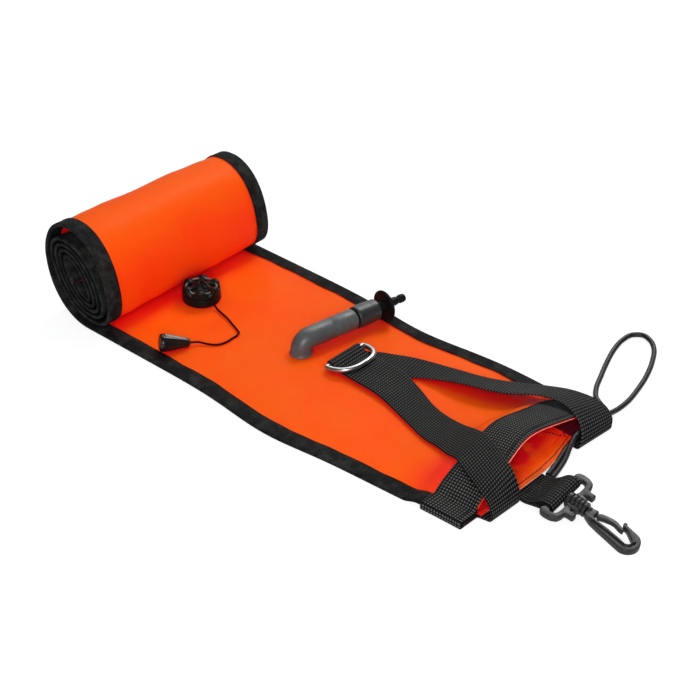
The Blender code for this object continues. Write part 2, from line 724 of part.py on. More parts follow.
# Hook group's own frame: X along the shank, Y along the bar, Z up from the buckle's face
hook_frame = (Matrix.Translation(BAR_CENTRE) @ Matrix.Rotation(HOOK_TURN, 4, "Z")
              @ Matrix.Rotation(HOOK_PITCH, 4, "Y") @ Matrix.Rotation(HOOK_ROLL, 4, "X"))
ALONG_X = Matrix.Rotation(math.pi / 2, 4, "Y")

# Swivel buckle: a slotted frame with the bar, two guard prongs and a ribbed barrel for the shank
half_frame = [(-1.7, 0), (-1.7, 15.6), (-3.2, 16.4), (-3.4, 18.6), (-1.6, 20.6), (1.6, 21.2), (6, 20.6),
              (9.4, 18.6), (10.6, 15.4), (10.6, 12.2), (16.6, 12.2), (16.6, 8.4), (11.4, 8.4), (11.4, 0)]
frame_outline = half_frame + [(x, -y) for x, y in half_frame[-2:0:-1]]
slot = [(1.7, 15.8), (1.7, -15.8), (3.4, -16.8), (6.4, -15.6), (7.2, -12), (7.2, 12), (6.4, 15.6), (3.4, 16.8)]
buckle = flat_outline("swivel_buckle", [[(x * MM, y * MM) for x, y in line] for line in (frame_outline, slot)],
                      BUCKLE_THICKNESS, GREY)
buckle.matrix_world = hook_frame
rounding = buckle.modifiers.new("rounded_edges", "BEVEL")
rounding.width = 0.8 * MM
rounding.use_clamp_overlap = False
rounding.segments = 2
rounding.limit_method = "ANGLE"
rounding.angle_limit = math.radians(60)
barrel_profile = [(0, 0)]
RIBS = 4
for i in range(RIBS):
    start = BARREL_LENGTH * i / RIBS
    step = BARREL_LENGTH / RIBS
    barrel_profile += [(BARREL_RADIUS - 0.7 * MM, start), (BARREL_RADIUS - 0.7 * MM, start + 0.25 * step),
                       (BARREL_RADIUS, start + 0.35 * step), (BARREL_RADIUS, start + 0.9 * step)]
barrel_profile += [(BARREL_RADIUS - 0.7 * MM, BARREL_LENGTH), (0, BARREL_LENGTH)]
barrel_frame = hook_frame @ Matrix.Translation((BARREL_START, 0, 0)) @ ALONG_X
barrel = turned("barrel", barrel_profile[::-1], GREY, barrel_frame, 20)
parts.objects.unlink(barrel)
tools.objects.link(barrel)
barrel.hide_render = True
barrel.display_type = "WIRE"
cut(buckle, barrel, "UNION")
head_room = cutter_cylinder("head_room", SHANK_RADIUS + 1.1 * MM, 4 * MM,
                            hook_frame @ Matrix.Translation((BARREL_START + 2 * MM + 2 * MM, 0, 0)) @ ALONG_X, 20)
shank_room = cutter_cylinder("shank_room", SHANK_RADIUS + GAP, BARREL_LENGTH,
                             hook_frame @ Matrix.Translation((BARREL_START + BARREL_LENGTH, 0, 0)) @ ALONG_X, 20)
cut(buckle, head_room)
cut(buckle, shank_room)

# Swivel hook: shank with a retaining head inside the barrel, and a long narrow hook
SHANK_END = BARREL_START + BARREL_LENGTH + 2 * GAP
HOOK_START = SHANK_END + 1.6 * MM
BEND_X = HOOK_START + HOOK_LENGTH - HOOK_BEND


def hook_outline():
    """Outer edge of the hook from its neck round the bend to the nose, then its inner edge back."""
    outer = [(HOOK_START - 1.6 * MM, -4.4 * MM), (HOOK_START, -5.4 * MM), (HOOK_START + 4.7 * MM, -7.0 * MM),
             (HOOK_START + 12 * MM, -8.0 * MM)]
    for i in range(11):
        angle = math.radians(-98 + 188 * i / 10)
        outer.append((BEND_X + HOOK_BEND * math.cos(angle), HOOK_BEND * math.sin(angle) - HOOK_OFFSET))
    nose_top = HOOK_BEND - HOOK_OFFSET
    nose = [(BEND_X - 2.4 * MM, nose_top + 0.6 * MM), (BEND_X - 5.6 * MM, nose_top + 1.2 * MM),
            (BEND_X - 8.4 * MM, nose_top + 1.8 * MM), (BEND_X - 10.6 * MM, nose_top + 1.4 * MM),
            (BEND_X - 10.6 * MM, nose_top), (BEND_X - 9.2 * MM, NOSE_Y), (BEND_X - 5.6 * MM, NOSE_Y - 0.4 * MM)]
    inner = []
    bend = HOOK_BEND - HOOK_ARM
    for i in range(8):
        angle = math.radians(65 - 155 * i / 7)
        inner.append((BEND_X + bend * math.cos(angle), bend * math.sin(angle) - HOOK_OFFSET))
    back = [(BEND_X - 4 * MM, -3.9 * MM), (BEND_X - 14 * MM, -3.0 * MM), (HOOK_START + 5 * MM, -3.0 * MM),
            (SHOULDER_END, -2.2 * MM), (SHOULDER_END, 3.0 * MM), (HOOK_START - 1.6 * MM, 2.6 * MM)]
    return outer + nose + inner + back


SHOULDER_END = HOOK_START + 4.4 * MM
NOSE_Y = 4.8 * MM
hook = flat_outline("swivel_hook", [hook_outline()], HOOK_THICKNESS, GREY)
hook_set = (Matrix.Translation((HOOK_START, 0, 0)) @ Matrix.Rotation(HOOK_SET, 4, "Z")
            @ Matrix.Translation((-HOOK_START, 0, 0)))
hook.matrix_world = hook_frame @ hook_set
shank_profile = [(0, 0), (SHANK_RADIUS + 0.8 * MM, 0), (SHANK_RADIUS + 0.8 * MM, 2 * MM), (SHANK_RADIUS, 2 * MM),
                 (SHANK_RADIUS, SHANK_END - BARREL_START - 1.2 * MM), (0, SHANK_END - BARREL_START - 1.2 * MM)]
shank = turned("shank", shank_profile[::-1], GREY,
               hook_frame @ Matrix.Translation((BARREL_START + 3 * MM, 0, 0)) @ ALONG_X, 20)
parts.objects.unlink(shank)
tools.objects.link(shank)
shank.hide_render = True
shank.display_type = "WIRE"
cut(hook, shank, "UNION")

# Hook gate: a springy arm from the front of the shoulder to the inside of the nose
KNUCKLE_RADIUS = 1.7 * MM
GATE_PIN = Vector((SHOULDER_END + GAP + KNUCKLE_RADIUS, 1.2 * MM, 0))
gate_end = BEND_X - 6.6 * MM
gate_top = NOSE_Y - 0.4 * MM - GAP
gate_line = [(gate_end, 1.5 * MM), (gate_end, gate_top - 1.0 * MM), (gate_end - 1.2 * MM, gate_top - 0.2 * MM),
             (gate_end - 3.6 * MM, gate_top + 0.3 * MM), (BEND_X - 13 * MM, gate_top + 1.3 * MM),
             (BEND_X - 16.5 * MM, gate_top + 1.3 * MM), (GATE_PIN.x + 3.5 * MM, gate_top + 0.4 * MM)]
for i in range(7):
    angle = math.pi * (0.6 + i / 6)
    gate_line.append((GATE_PIN.x + KNUCKLE_RADIUS * math.cos(angle), GATE_PIN.y + KNUCKLE_RADIUS * math.sin(angle)))
gate_line += [(GATE_PIN.x + 3.0 * MM, 0.7 * MM), (BEND_X - 16 * MM, 2.5 * MM), (BEND_X - 13 * MM, 2.5 * MM),
              (gate_end - 3.4 * MM, 1.6 * MM)]
gate = flat_outline("hook_gate", [gate_line], HOOK_THICKNESS - 1.4 * MM, GREY)
gate.matrix_world = hook_frame @ hook_set


# Valves on the front panel
def upright(x, y, z):
    return Matrix.Translation((x, y, z))


def panel_under(x, y, radius):
    """Lowest and highest underside of the front panel round a valve."""
    heights = []
    for i in range(12):
        place_x = x + radius * math.cos(math.tau * i / 12)
        place_y = y + radius * math.sin(math.tau * i / 12)
        heights.append(FRONT_H + lift(place_x, place_y - side_shift(place_x)))
    heights.append(FRONT_H + lift(x, y - side_shift(x)))
    return min(heights), max(heights)


def flange(name, x, y, stud_outer, stud_inner, stud_height):
    """A disc inside the tube with a stud up through the panel."""
    under = panel_under(x, y, FLANGE_RADIUS)[0]
    top = under - GAP
    bottom = top - FLANGE_THICKNESS
    stud_top = panel_under(x, y, VALVE_RADIUS)[1] + stud_height
    profile = [(stud_outer, stud_top), (stud_outer, top), (FLANGE_RADIUS, top), (FLANGE_RADIUS, bottom),
               (stud_inner, bottom), (stud_inner, stud_top)]
    turned(name, profile, BLACK, upright(x, y, 0))
    hole = cutter_cylinder(name + "_hole", stud_outer + GAP, 6 * MM, upright(x, y, under), 32)
    cut(front_panel, hole)


# Dump valve: stud, body with its seat, sprung disc and windowed cap
flange("dump_valve_flange", VALVE_X, VALVE_Y, VALVE_STUD_RADIUS, VALVE_STUD_RADIUS - 1.5 * MM, 2.8 * MM)
valve_foot = panel_under(VALVE_X, VALVE_Y, VALVE_RADIUS)[1] + PANEL_THICKNESS + GAP
seat_low = valve_foot - PANEL_THICKNESS + 2.8 * MM
seat_top = seat_low + 1.2 * MM
body_top = valve_foot + VALVE_BODY_HEIGHT
stud_room = VALVE_STUD_RADIUS + GAP
chamber = VALVE_RADIUS - 2.6 * MM
body_profile = [(VALVE_RADIUS - 0.5 * MM, body_top), (VALVE_RADIUS, body_top - 0.5 * MM), (VALVE_RADIUS, valve_foot),
                (stud_room, valve_foot), (stud_room, seat_low), (5.5 * MM, seat_low), (5.5 * MM, seat_top),
                (chamber, seat_top), (chamber, body_top)]
turned("dump_valve_body", body_profile, BLACK, upright(VALVE_X, VALVE_Y, 0), 32)

DISC_RADIUS = 7.2 * MM
HUB_HOLE = CORD_RADIUS + 0.4 * MM
disc_low = seat_top + GAP
disc_top = disc_low + 1.0 * MM
STEM_TOP = disc_top + 1.0 * MM
disc_profile = [(0, STEM_TOP), (1.3 * MM, STEM_TOP), (1.3 * MM, disc_top), (DISC_RADIUS, disc_top),
                (DISC_RADIUS, disc_low), (0, disc_low)]
turned("dump_valve_disc", disc_profile, RUBBER, upright(VALVE_X, VALVE_Y, 0))

cap_foot = body_top + GAP
cap_top = cap_foot + VALVE_CAP_HEIGHT
skirt = chamber - GAP
ceiling = cap_top - 2.7 * MM
cap_radius = VALVE_RADIUS - 0.4 * MM
cap_profile = [(HUB_HOLE, cap_top), (2.6 * MM, cap_top), (3.0 * MM, cap_top - 0.5 * MM), (7.0 * MM, cap_top - 1.4 * MM),
               (cap_radius - 1.4 * MM, cap_top - 2.0 * MM), (cap_radius, cap_top - 2.8 * MM), (cap_radius, cap_foot),
               (skirt, cap_foot), (skirt, cap_foot - 1.4 * MM), (skirt - 1.2 * MM, cap_foot - 1.4 * MM),
               (skirt - 1.2 * MM, ceiling - 0.8 * MM), (6.6 * MM, ceiling), (3.0 * MM, ceiling + 0.4 * MM),
               (HUB_HOLE, ceiling + 0.4 * MM)]
cap = turned("dump_valve_cap", cap_profile, BLACK, upright(VALVE_X, VALVE_Y, 0), 28)
WINDOWS = 6
WINDOW_SHIFT = 0.7
window_outline = [(3.9 * MM, -0.7 * MM), (8.6 * MM, -2.5 * MM), (9.2 * MM, 0), (8.6 * MM, 2.5 * MM),
                  (3.9 * MM, 0.7 * MM)]
for i in range(WINDOWS):
    bm = bmesh.new()
    low = [bm.verts.new((x, y, -3 * MM)) for x, y in window_outline]
    high = [bm.verts.new((x, y, 3 * MM)) for x, y in window_outline]
    bm.faces.new(low[::-1])
    bm.faces.new(high)
    for j in range(len(low)):
        k = (j + 1) % len(low)
        bm.faces.new((low[j], low[k], high[k], high[j]))
    window = add_object("window_%d" % i, mesh_from(bm, "window"), None, tools)
    window_turn = Matrix.Rotation(math.tau * (i + WINDOW_SHIFT) / WINDOWS, 4, "Z")
    window.matrix_world = upright(VALVE_X, VALVE_Y, cap_top - 1.5 * MM) @ window_turn
    window.hide_render = True
    window.display_type = "WIRE"
    cut(cap, window)


def coil(start, end, radius, wire_radius, turn_count, steps=8):
    """Points of a spring along Z."""
    points = []
    for i in range(turn_count * steps + 1):
        angle = math.tau * i / steps
        height = start + wire_radius + (end - start - 2 * wire_radius) * i / (turn_count * steps)
        points.append(Vector((radius * math.cos(angle), radius * math.sin(angle), height)))
    return points


spring_top = ceiling - GAP
valve_spring = wire("dump_valve_spring", coil(disc_top + GAP, spring_top, 4.4 * MM, 0.25 * MM, 3), 0.25 * MM, STEEL,
                    resolution=1)
valve_spring.location = (VALVE_X, VALVE_Y, 0)

# Pull cord from the disc's stem through the cap's hub, and its toggle
cap_z = cap_top / MM
CORD_POINTS = [(0, 0, STEM_TOP / MM + 0.3), (0, 0, cap_z + 0.8), (1.2, -0.2, cap_z + 2.0), (5, -1, cap_z + 1.8),
               (10, -1.9, cap_z + 0.6), (13.6, -2.6, cap_z - 1.6), (15.2, -3.0, cap_z - 5.0), (16.6, -3.5, 7.0),
               (19.5, -4.0, 5.4), (24, -4.8, 4.9), (32, -6.9, 4.9), (40, -9.9, 4.9), (48, -12.9, 4.9),
               (51.4, -14.7, 4.9), (52.7, -17.6, 4.9), (52.8, -22.7, 4.8), (53, -28.2, 4.8), (51.8, -32.8, 4.7),
               (49.2, -36.1, 4.7), (44.7, -38.9, 4.8), (40.2, -41.6, 5.5), (37.0, -46.8, 6.4)]
cord_line = curve_through([Vector((x, y, z)) * MM + Vector((VALVE_X, VALVE_Y, 0)) for x, y, z in CORD_POINTS], 2)
wire("pull_cord", cord_line, CORD_RADIUS, CORD)
TOGGLE_LENGTH = 21 * MM
toggle_start = cord_line[-1]
toggle_way = Vector((-0.54, -0.84, 0.16)).normalized()
toggle_turn = Vector((0, 0, 1)).rotation_difference(toggle_way).to_matrix().to_4x4()
toggle_profile = [(0, TOGGLE_LENGTH + GAP), (4.6 * MM, TOGGLE_LENGTH + GAP), (6.2 * MM, TOGGLE_LENGTH - 1.2 * MM),
                  (5.9 * MM, TOGGLE_LENGTH - 4 * MM), (4.2 * MM, 8 * MM), (3.1 * MM, 2.2 * MM), (2.2 * MM, GAP), (0, GAP)]
toggle_place = Matrix.Translation(toggle_start) @ toggle_turn
turned("pull_toggle", toggle_profile, BLACK, toggle_place, 20)

# Oral inflator: stud and elbow, collar with its O-ring, and the sprung push stem
flange("inflator_flange", INFLATOR_X, INFLATOR_Y, TUBE_BORE - GAP, TUBE_BORE - 1.4 * MM, 4 * MM)
inflator_foot = panel_under(INFLATOR_X, INFLATOR_Y, VALVE_RADIUS)[1] + PANEL_THICKNESS + GAP
AXIS_Z = STACK + 0.4 * MM + THUMB_DISC_RADIUS
inflator_frame = Matrix.Translation((INFLATOR_X, INFLATOR_Y, AXIS_Z)) @ Matrix.Rotation(INFLATOR_TURN, 4, "Z")
along_tube = inflator_frame @ ALONG_X


def ring_at(centre, out_axis, up_axis, radius, sides=20):
    return [centre + (out_axis * math.cos(math.tau * i / sides) + up_axis * math.sin(math.tau * i / sides)) * radius
            for i in range(sides)]


elbow_rings = []
down = inflator_foot - AXIS_Z
side_axis = Vector((0, 1, 0))
for z, radius in ((down, TUBE_BASE_RADIUS), (down + 0.8 * MM, TUBE_BASE_RADIUS), (down + 1.6 * MM, TUBE_RADIUS)):
    elbow_rings.append(ring_at(Vector((0, 0, z)), Vector((1, 0, 0)), side_axis, radius))
BEND_STEPS = 6
for i in range(1, BEND_STEPS + 1):
    angle = math.pi / 2 * i / BEND_STEPS
    centre = Vector((TUBE_BEND * (1 - math.cos(angle)), 0, TUBE_BEND * (math.sin(angle) - 1)))
    outward = Vector((math.cos(angle), 0, -math.sin(angle)))
    elbow_rings.append(ring_at(centre, outward, side_axis, TUBE_RADIUS))
for x in (TUBE_LENGTH * 0.5, TUBE_LENGTH):
    elbow_rings.append(ring_at(Vector((x, 0, 0)), Vector((0, 0, -1)), side_axis, TUBE_RADIUS))
elbow_wall = TUBE_RADIUS - TUBE_BORE
bm = bmesh.new()
lines = [[bm.verts.new(point) for point in ring] for ring in elbow_rings]
for first, second in zip(lines, lines[1:]):
    for i in range(len(first)):
        j = (i + 1) % len(first)
        bm.faces.new((first[i], first[j], second[j], second[i]))
elbow = add_object("inflator_elbow", mesh_from(bm, "inflator_elbow"), GREY)
elbow.matrix_world = inflator_frame
wall = elbow.modifiers.new("wall", "SOLIDIFY")
wall.thickness = elbow_wall
wall.offset = -1.0
wall.use_even_offset = True

COLLAR_X = TUBE_LENGTH + 2 * GAP + 2 * O_RING_RADIUS
SPIGOT_X = COLLAR_X - SPIGOT_LENGTH
SPIGOT_RADIUS = TUBE_BORE - GAP
COLLAR_END = COLLAR_X + COLLAR_LENGTH
SHOULDER_X = COLLAR_X + 5 * MM
o_ring_radius = SPIGOT_RADIUS + GAP + O_RING_RADIUS
o_ring_x = TUBE_LENGTH + GAP + O_RING_RADIUS
o_ring_profile = [(o_ring_radius + O_RING_RADIUS * math.sin(math.tau * i / 8),
                   o_ring_x + O_RING_RADIUS * math.cos(math.tau * i / 8)) for i in range(8)]
turned("inflator_o_ring", o_ring_profile, RUBBER, along_tube, 24)
collar_profile = [(COLLAR_RADIUS - 1.2 * MM, COLLAR_END), (COLLAR_RADIUS - 0.4 * MM, COLLAR_END - 1.0 * MM),
                  (COLLAR_RADIUS, COLLAR_X + 0.6 * MM), (COLLAR_RADIUS - 0.4 * MM, COLLAR_X), (SPIGOT_RADIUS, COLLAR_X),
                  (SPIGOT_RADIUS, SPIGOT_X), (SEAT_BORE, SPIGOT_X), (SEAT_BORE, SHOULDER_X),
                  (COLLAR_BORE, SHOULDER_X), (COLLAR_BORE, COLLAR_END)]
turned("inflator_collar", collar_profile, BLACK, along_tube, 24)

DISC_X = COLLAR_END + STEM_TRAVEL + NECK_SHOWING
TIP_X = DISC_X + THUMB_DISC_THICKNESS + NIPPLE_LENGTH
STEM_STEP_X = SHOULDER_X + 9 * MM
seal_x = SPIGOT_X - GAP
SEAL_THICKNESS = 1.6 * MM
ROD_END = seal_x - SEAL_THICKNESS - 1.2 * MM
stem_profile = [(NIPPLE_BORE, TIP_X), (NIPPLE_RADIUS - 0.3 * MM, TIP_X), (NIPPLE_RADIUS, TIP_X - 1.5 * MM),
                (NIPPLE_RADIUS, TIP_X - 5 * MM), (NIPPLE_RADIUS - 0.5 * MM, TIP_X - 5.5 * MM),
                (NIPPLE_RADIUS - 0.5 * MM, TIP_X - 6.5 * MM), (NIPPLE_RADIUS, TIP_X - 7 * MM),
                (NIPPLE_RADIUS + 0.2 * MM, DISC_X + THUMB_DISC_THICKNESS),
                (THUMB_DISC_RADIUS - 0.5 * MM, DISC_X + THUMB_DISC_THICKNESS),
                (THUMB_DISC_RADIUS, DISC_X + THUMB_DISC_THICKNESS - 0.6 * MM), (THUMB_DISC_RADIUS, DISC_X + 0.6 * MM),
                (THUMB_DISC_RADIUS - 0.5 * MM, DISC_X), (STEM_RADIUS, DISC_X), (STEM_RADIUS, STEM_STEP_X),
                (STEM_ROD_RADIUS, STEM_STEP_X), (STEM_ROD_RADIUS, ROD_END), (0, ROD_END), (0, STEM_STEP_X + 3 * MM),
                (NIPPLE_BORE, STEM_STEP_X + 3 * MM)]
bm = bmesh.new()
line = [bm.verts.new((radius, 0, height)) for radius, height in stem_profile]
for i in range(len(line)):
    if i != stem_profile.index((0, ROD_END)):
        bm.edges.new((line[i], line[(i + 1) % len(line)]))
mesh = bpy.data.meshes.new("inflator_push_stem")
bm.to_mesh(mesh)
bm.free()
stem = add_object("inflator_push_stem", mesh, BLACK)
turn_stem = stem.modifiers.new("turn", "SCREW")
turn_stem.axis = "Z"
turn_stem.steps = 24
turn_stem.render_steps = 24
turn_stem.use_merge_vertices = True
turn_stem.merge_threshold = 0.0000001
stem.matrix_world = along_tube
hole_frame = inflator_frame @ Matrix.Translation((TIP_X - 2.6 * MM, 0, 0)) @ Matrix.Rotation(math.pi / 2, 4, "X")
cross_hole = cutter_cylinder("cross_hole", 0.9 * MM, 20 * MM, hole_frame, 12)
cut(stem, cross_hole)

seal_profile = [(STEM_ROD_RADIUS + GAP, seal_x), (4.2 * MM, seal_x), (4.2 * MM, seal_x - SEAL_THICKNESS),
                (STEM_ROD_RADIUS + GAP, seal_x - SEAL_THICKNESS)]
turned("inflator_seal", seal_profile, RUBBER, along_tube, 24)
inflator_spring = wire("inflator_spring", coil(SHOULDER_X + GAP, STEM_STEP_X - GAP, 3.2 * MM, 0.35 * MM, 5), 0.35 * MM,
                       STEEL, resolution=1)
inflator_spring.matrix_world = along_tube

# Elastic loop: both ends in the tab, through the far fold of the strap and out to one side
BUNGEE_POINTS = in_mm([
    (166.6, 4.6, 1.9), (165.4, 12, 1.9), (162.8, 22, 2.2), (160.1, 32, 2.8), (158.3, 40, 3.3), (158.1, 50, 3.4),
    (157.9, 60, 3.4), (156.4, 70, 3.0), (153.6, 78.4, 2.2), (147.6, 84.6, 1.9), (138.6, 90.4, 1.9), (132.4, 99, 1.9),
    (127, 111, 1.9), (119.4, 129, 1.9), (113.6, 146, 1.9), (111.6, 157, 1.9), (112.8, 167, 1.9), (118.6, 171.6, 1.9),
    (126, 169.6, 1.9), (134, 162.6, 1.9), (141, 151, 1.9), (148, 135, 1.9), (153.5, 116.5, 1.9), (156.8, 100, 1.9),
    (157.2, 90, 2.0), (157.2, 80, 3.5), (157.0, 70, 6.3), (157.2, 60, 7.3), (158.2, 50, 7.4), (159.4, 40, 7.2),
    (162.6, 32, 5.4), (166.9, 22, 2.8), (169.6, 12, 1.9), (170.8, 4.2, 1.9)])
wire("bungee_loop", curve_through(BUNGEE_POINTS, 1), BUNGEE_DIAMETER / 2, CORD)
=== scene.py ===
import math

import bmesh
import bpy
from mathutils import Matrix, Vector, noise


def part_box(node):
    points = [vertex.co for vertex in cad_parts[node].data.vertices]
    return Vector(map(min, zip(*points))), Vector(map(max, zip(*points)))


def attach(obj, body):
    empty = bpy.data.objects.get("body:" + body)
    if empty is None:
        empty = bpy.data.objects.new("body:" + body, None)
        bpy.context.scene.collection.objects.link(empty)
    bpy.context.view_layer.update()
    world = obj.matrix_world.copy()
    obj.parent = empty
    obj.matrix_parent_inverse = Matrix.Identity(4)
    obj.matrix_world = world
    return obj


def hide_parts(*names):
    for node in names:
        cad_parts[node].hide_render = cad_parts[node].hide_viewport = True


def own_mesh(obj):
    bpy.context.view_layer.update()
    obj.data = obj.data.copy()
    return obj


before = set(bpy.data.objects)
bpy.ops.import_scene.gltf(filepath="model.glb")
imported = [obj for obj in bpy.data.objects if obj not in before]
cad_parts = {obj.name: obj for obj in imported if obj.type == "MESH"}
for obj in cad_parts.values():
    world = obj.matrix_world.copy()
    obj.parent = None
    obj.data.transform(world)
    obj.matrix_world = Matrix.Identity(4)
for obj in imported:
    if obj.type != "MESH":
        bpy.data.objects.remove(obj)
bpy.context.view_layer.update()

# Camera: it looks down on the open mouth and its hook from over a metre away, through a long lens, so the
# rolled end stands only a little smaller than the mouth.
MM = 0.001
AZIMUTH = math.radians(42.23)
ELEVATION = math.radians(33.90)
DISTANCE = 1.324
LOOKED_AT = Vector((0, 0.0032, 0.02))
level = math.cos(ELEVATION)
toward_camera = Vector((math.sin(AZIMUTH) * level, -math.cos(AZIMUTH) * level, math.sin(ELEVATION)))


def placed(name, data):
    """A new object in the scene."""
    made = bpy.data.objects.new(name, data)
    bpy.context.scene.collection.objects.link(made)
    return made


lens = bpy.data.cameras.new("photo_camera")
lens.lens = 102.857
lens.sensor_width = 36
camera = placed("photo_camera", lens)
camera.location = LOOKED_AT + toward_camera * DISTANCE
camera.rotation_euler = toward_camera.to_track_quat("Z", "Y").to_euler()
bpy.context.scene.camera = camera
bpy.context.scene.view_settings.view_transform = "Standard"


# Studio: a white sheet to lie on, a bright room and two soft lamps. The sheet looks plain white to the camera
# and in reflections, the room looks plain white only to the camera and shows a bright soft patch in
# reflections, and the sheet keeps the buoy's faint shadow.
class Shade:
    """One socket of a material's nodes. Arithmetic on it adds Math nodes, and node() adds any other node."""

    def __init__(self, tree, socket=None):
        self.tree = tree
        self.socket = socket

    def node(self, kind, settings=None, values=None, output=0):
        made = self.tree.nodes.new("ShaderNode" + kind)
        for name, setting in (settings or {}).items():
            setattr(made, name, setting)
        for name, value in (values or {}).items():
            if isinstance(value, Shade):
                self.tree.links.new(value.socket, made.inputs[name])
            else:
                made.inputs[name].default_value = value
        return Shade(self.tree, made.outputs[output])

    def math(self, operation, *values):
        return self.node("Math", {"operation": operation}, dict(enumerate((self, *values))))

    def __add__(self, other):
        return self.math("ADD", other)

    def __sub__(self, other):
        return self.math("SUBTRACT", other)

    def __rsub__(self, other):
        return self.node("Math", {"operation": "SUBTRACT"}, {0: other, 1: self})

    def __mul__(self, other):
        return self.math("MULTIPLY", other)

    def __truediv__(self, other):
        return self.math("DIVIDE", other)

    def __pow__(self, other):
        return self.math("POWER", other)

    __radd__ = __add__
    __rmul__ = __mul__

    def between(self, low, high):
        """The colour from low to high as this value goes from 0 to 1."""
        return self.node("Mix", {"data_type": "RGBA"}, {0: self, 6: low, 7: high}, 2)

    def step(self, low, high):
        """0 below low, 1 above high, and smooth from one to the other."""
        values = {"Value": self, "From Min": low, "From Max": high}
        return self.node("MapRange", {"interpolation_type": "SMOOTHSTEP"}, values)

    def part(self, axis):
        """One part of a vector: 0 for x, 1 for y and 2 for z."""
        return self.node("SeparateXYZ", values={0: self}, output=axis)

    def shown_by(self, output):
        """Make this the surface of the tree's output."""
        end = self.tree.nodes.new("ShaderNode" + output)
        self.tree.links.new(self.socket, end.inputs["Surface"])


def seen_directly(start):
    """1 for what the camera sees straight on, in a reflection or through glass."""
    ray = start.node("LightPath", output=0)
    glossy = start.node("LightPath", output=3)
    through = start.node("LightPath", output=6)
    return ray.math("MAXIMUM", glossy).math("MAXIMUM", through)


bm = bmesh.new()
bmesh.ops.create_grid(bm, x_segments=1, y_segments=1, size=4)
mesh = bpy.data.meshes.new("studio_floor")
bm.to_mesh(mesh)
bm.free()
floor = placed("studio_floor", mesh)
floor.location.z = -0.3 * MM
paper = bpy.data.materials.new("white_paper")
paper.use_nodes = True
paper.node_tree.nodes.clear()
start = Shade(paper.node_tree)
lit = start.node("BsdfDiffuse", values={"Color": (0.42, 0.42, 0.42, 1)})
glow = start.node("Emission", values={"Color": (1, 1, 1, 1), "Strength": 0.68})
bounce = start.node("BsdfDiffuse", values={"Color": (0.8, 0.8, 0.8, 1)})
shown = start.node("AddShader", values={0: lit, 1: glow})
mixed = start.node("MixShader", values={0: seen_directly(start), 1: bounce, 2: shown})
mixed.shown_by("OutputMaterial")
mesh.materials.append(paper)

room = bpy.data.worlds.new("bright_room")
bpy.context.scene.world = room
room.use_nodes = True
room.node_tree.nodes.clear()
start = Shade(room.node_tree)
fill = start.node("Background", values={"Color": (0.96, 0.98, 1.0, 1), "Strength": 0.42})
white = start.node("Background", values={"Color": (1, 1, 1, 1), "Strength": 1.0})
behind = {0: start.node("TexCoord", output=0), 1: (-0.475, 0.524, 0.707)}
softbox = start.node("VectorMath", {"operation": "DOT_PRODUCT"}, behind, 1).step(0.80, 0.97)
ceiling = softbox.between((0.04, 0.04, 0.04, 1), (2.8, 2.8, 2.8, 1))
reflected = start.node("Background", values={"Color": ceiling, "Strength": 1.0})
fill = start.node("MixShader", values={0: start.node("LightPath", output=3), 1: fill, 2: reflected})
mixed = start.node("MixShader", values={0: start.node("LightPath", output=0), 1: fill, 2: white})
mixed.shown_by("OutputWorld")


def soft_lamp(name, place, size, power):
    """A square lamp that points at the buoy."""
    light = bpy.data.lights.new(name, "AREA")
    light.size = size
    light.energy = power
    lamp = placed(name, light)
    lamp.location = place
    lamp.rotation_euler = (Vector(place) - LOOKED_AT).to_track_quat("Z", "Y").to_euler()


soft_lamp("key_lamp", (-0.20, 1.05, 1.15), 0.5, 13)
soft_lamp("front_lamp", (0.9, -1.1, 0.9), 0.6, 25)


# Tube cloth: nylon coated with orange rubber, two long panels that lie on each other. The front panel rises
# into the arch of the open mouth. Both are wound up together at the far end, with the back panel outside.
def smooth(value):
    """0 to 1 as the value goes from 0 to 1, level at both ends."""
    value = min(1.0, max(0.0, value))
    return value * value * (3 - 2 * value)


def powered(value, power):
    """A power of the value's size, with its sign kept."""
    return math.copysign(abs(value) ** power, value)


def neighbours(items, i, loop=False):
    """The items before and after one of them, or the item itself past an open end."""
    before = items[i - 1] if i or loop else items[i]
    after = items[(i + 1) % len(items)] if i < len(items) - 1 or loop else items[i]
    return before, after


def smooth_line(points, steps):
    """A smooth line through points that may be unevenly spaced, with steps points for each of their spans."""
    slopes = []
    for i, point in enumerate(points):
        before, after = neighbours(points, i)
        near = max((point - before).length, 1e-9)
        far = max((after - point).length, 1e-9)
        if i == 0:
            slopes.append((after - point) / far)
        elif i == len(points) - 1:
            slopes.append((point - before) / near)
        else:
            pull = (point - before) / near * far + (after - point) / far * near
            slopes.append(pull / (near + far))
    line = []
    for i, (first, second) in enumerate(zip(points, points[1:])):
        span = (second - first).length
        for step in range(steps):
            t = step / steps
            line.append(first * (2 * t ** 3 - 3 * t * t + 1) + second * (3 * t * t - 2 * t ** 3)
                        + slopes[i] * span * (t ** 3 - 2 * t * t + t)
                        + slopes[i + 1] * span * (t ** 3 - t * t))
    line.append(points[-1])
    return line


def smooth_rows(rows, steps):
    columns = [smooth_line(list(column), steps) for column in zip(*rows)]
    return [list(row) for row in zip(*columns)]


def distances(points):
    """How far each point is from the first, along the line through them."""
    total = [0.0]
    for first, second in zip(points, points[1:]):
        total.append(total[-1] + (second - first).length)
    return total


def shade(mesh, sharp):
    """Smooth faces, with an edge where they meet at more than this many degrees."""
    mesh.shade_smooth()
    mesh.set_sharp_from_angle(angle=math.radians(sharp))


def piece(name, bm, finish, sharp=40):
    mesh = bpy.data.meshes.new(name)
    bm.to_mesh(mesh)
    bm.free()
    shade(mesh, sharp)
    mesh.materials.append(finish)
    return placed(name, mesh)


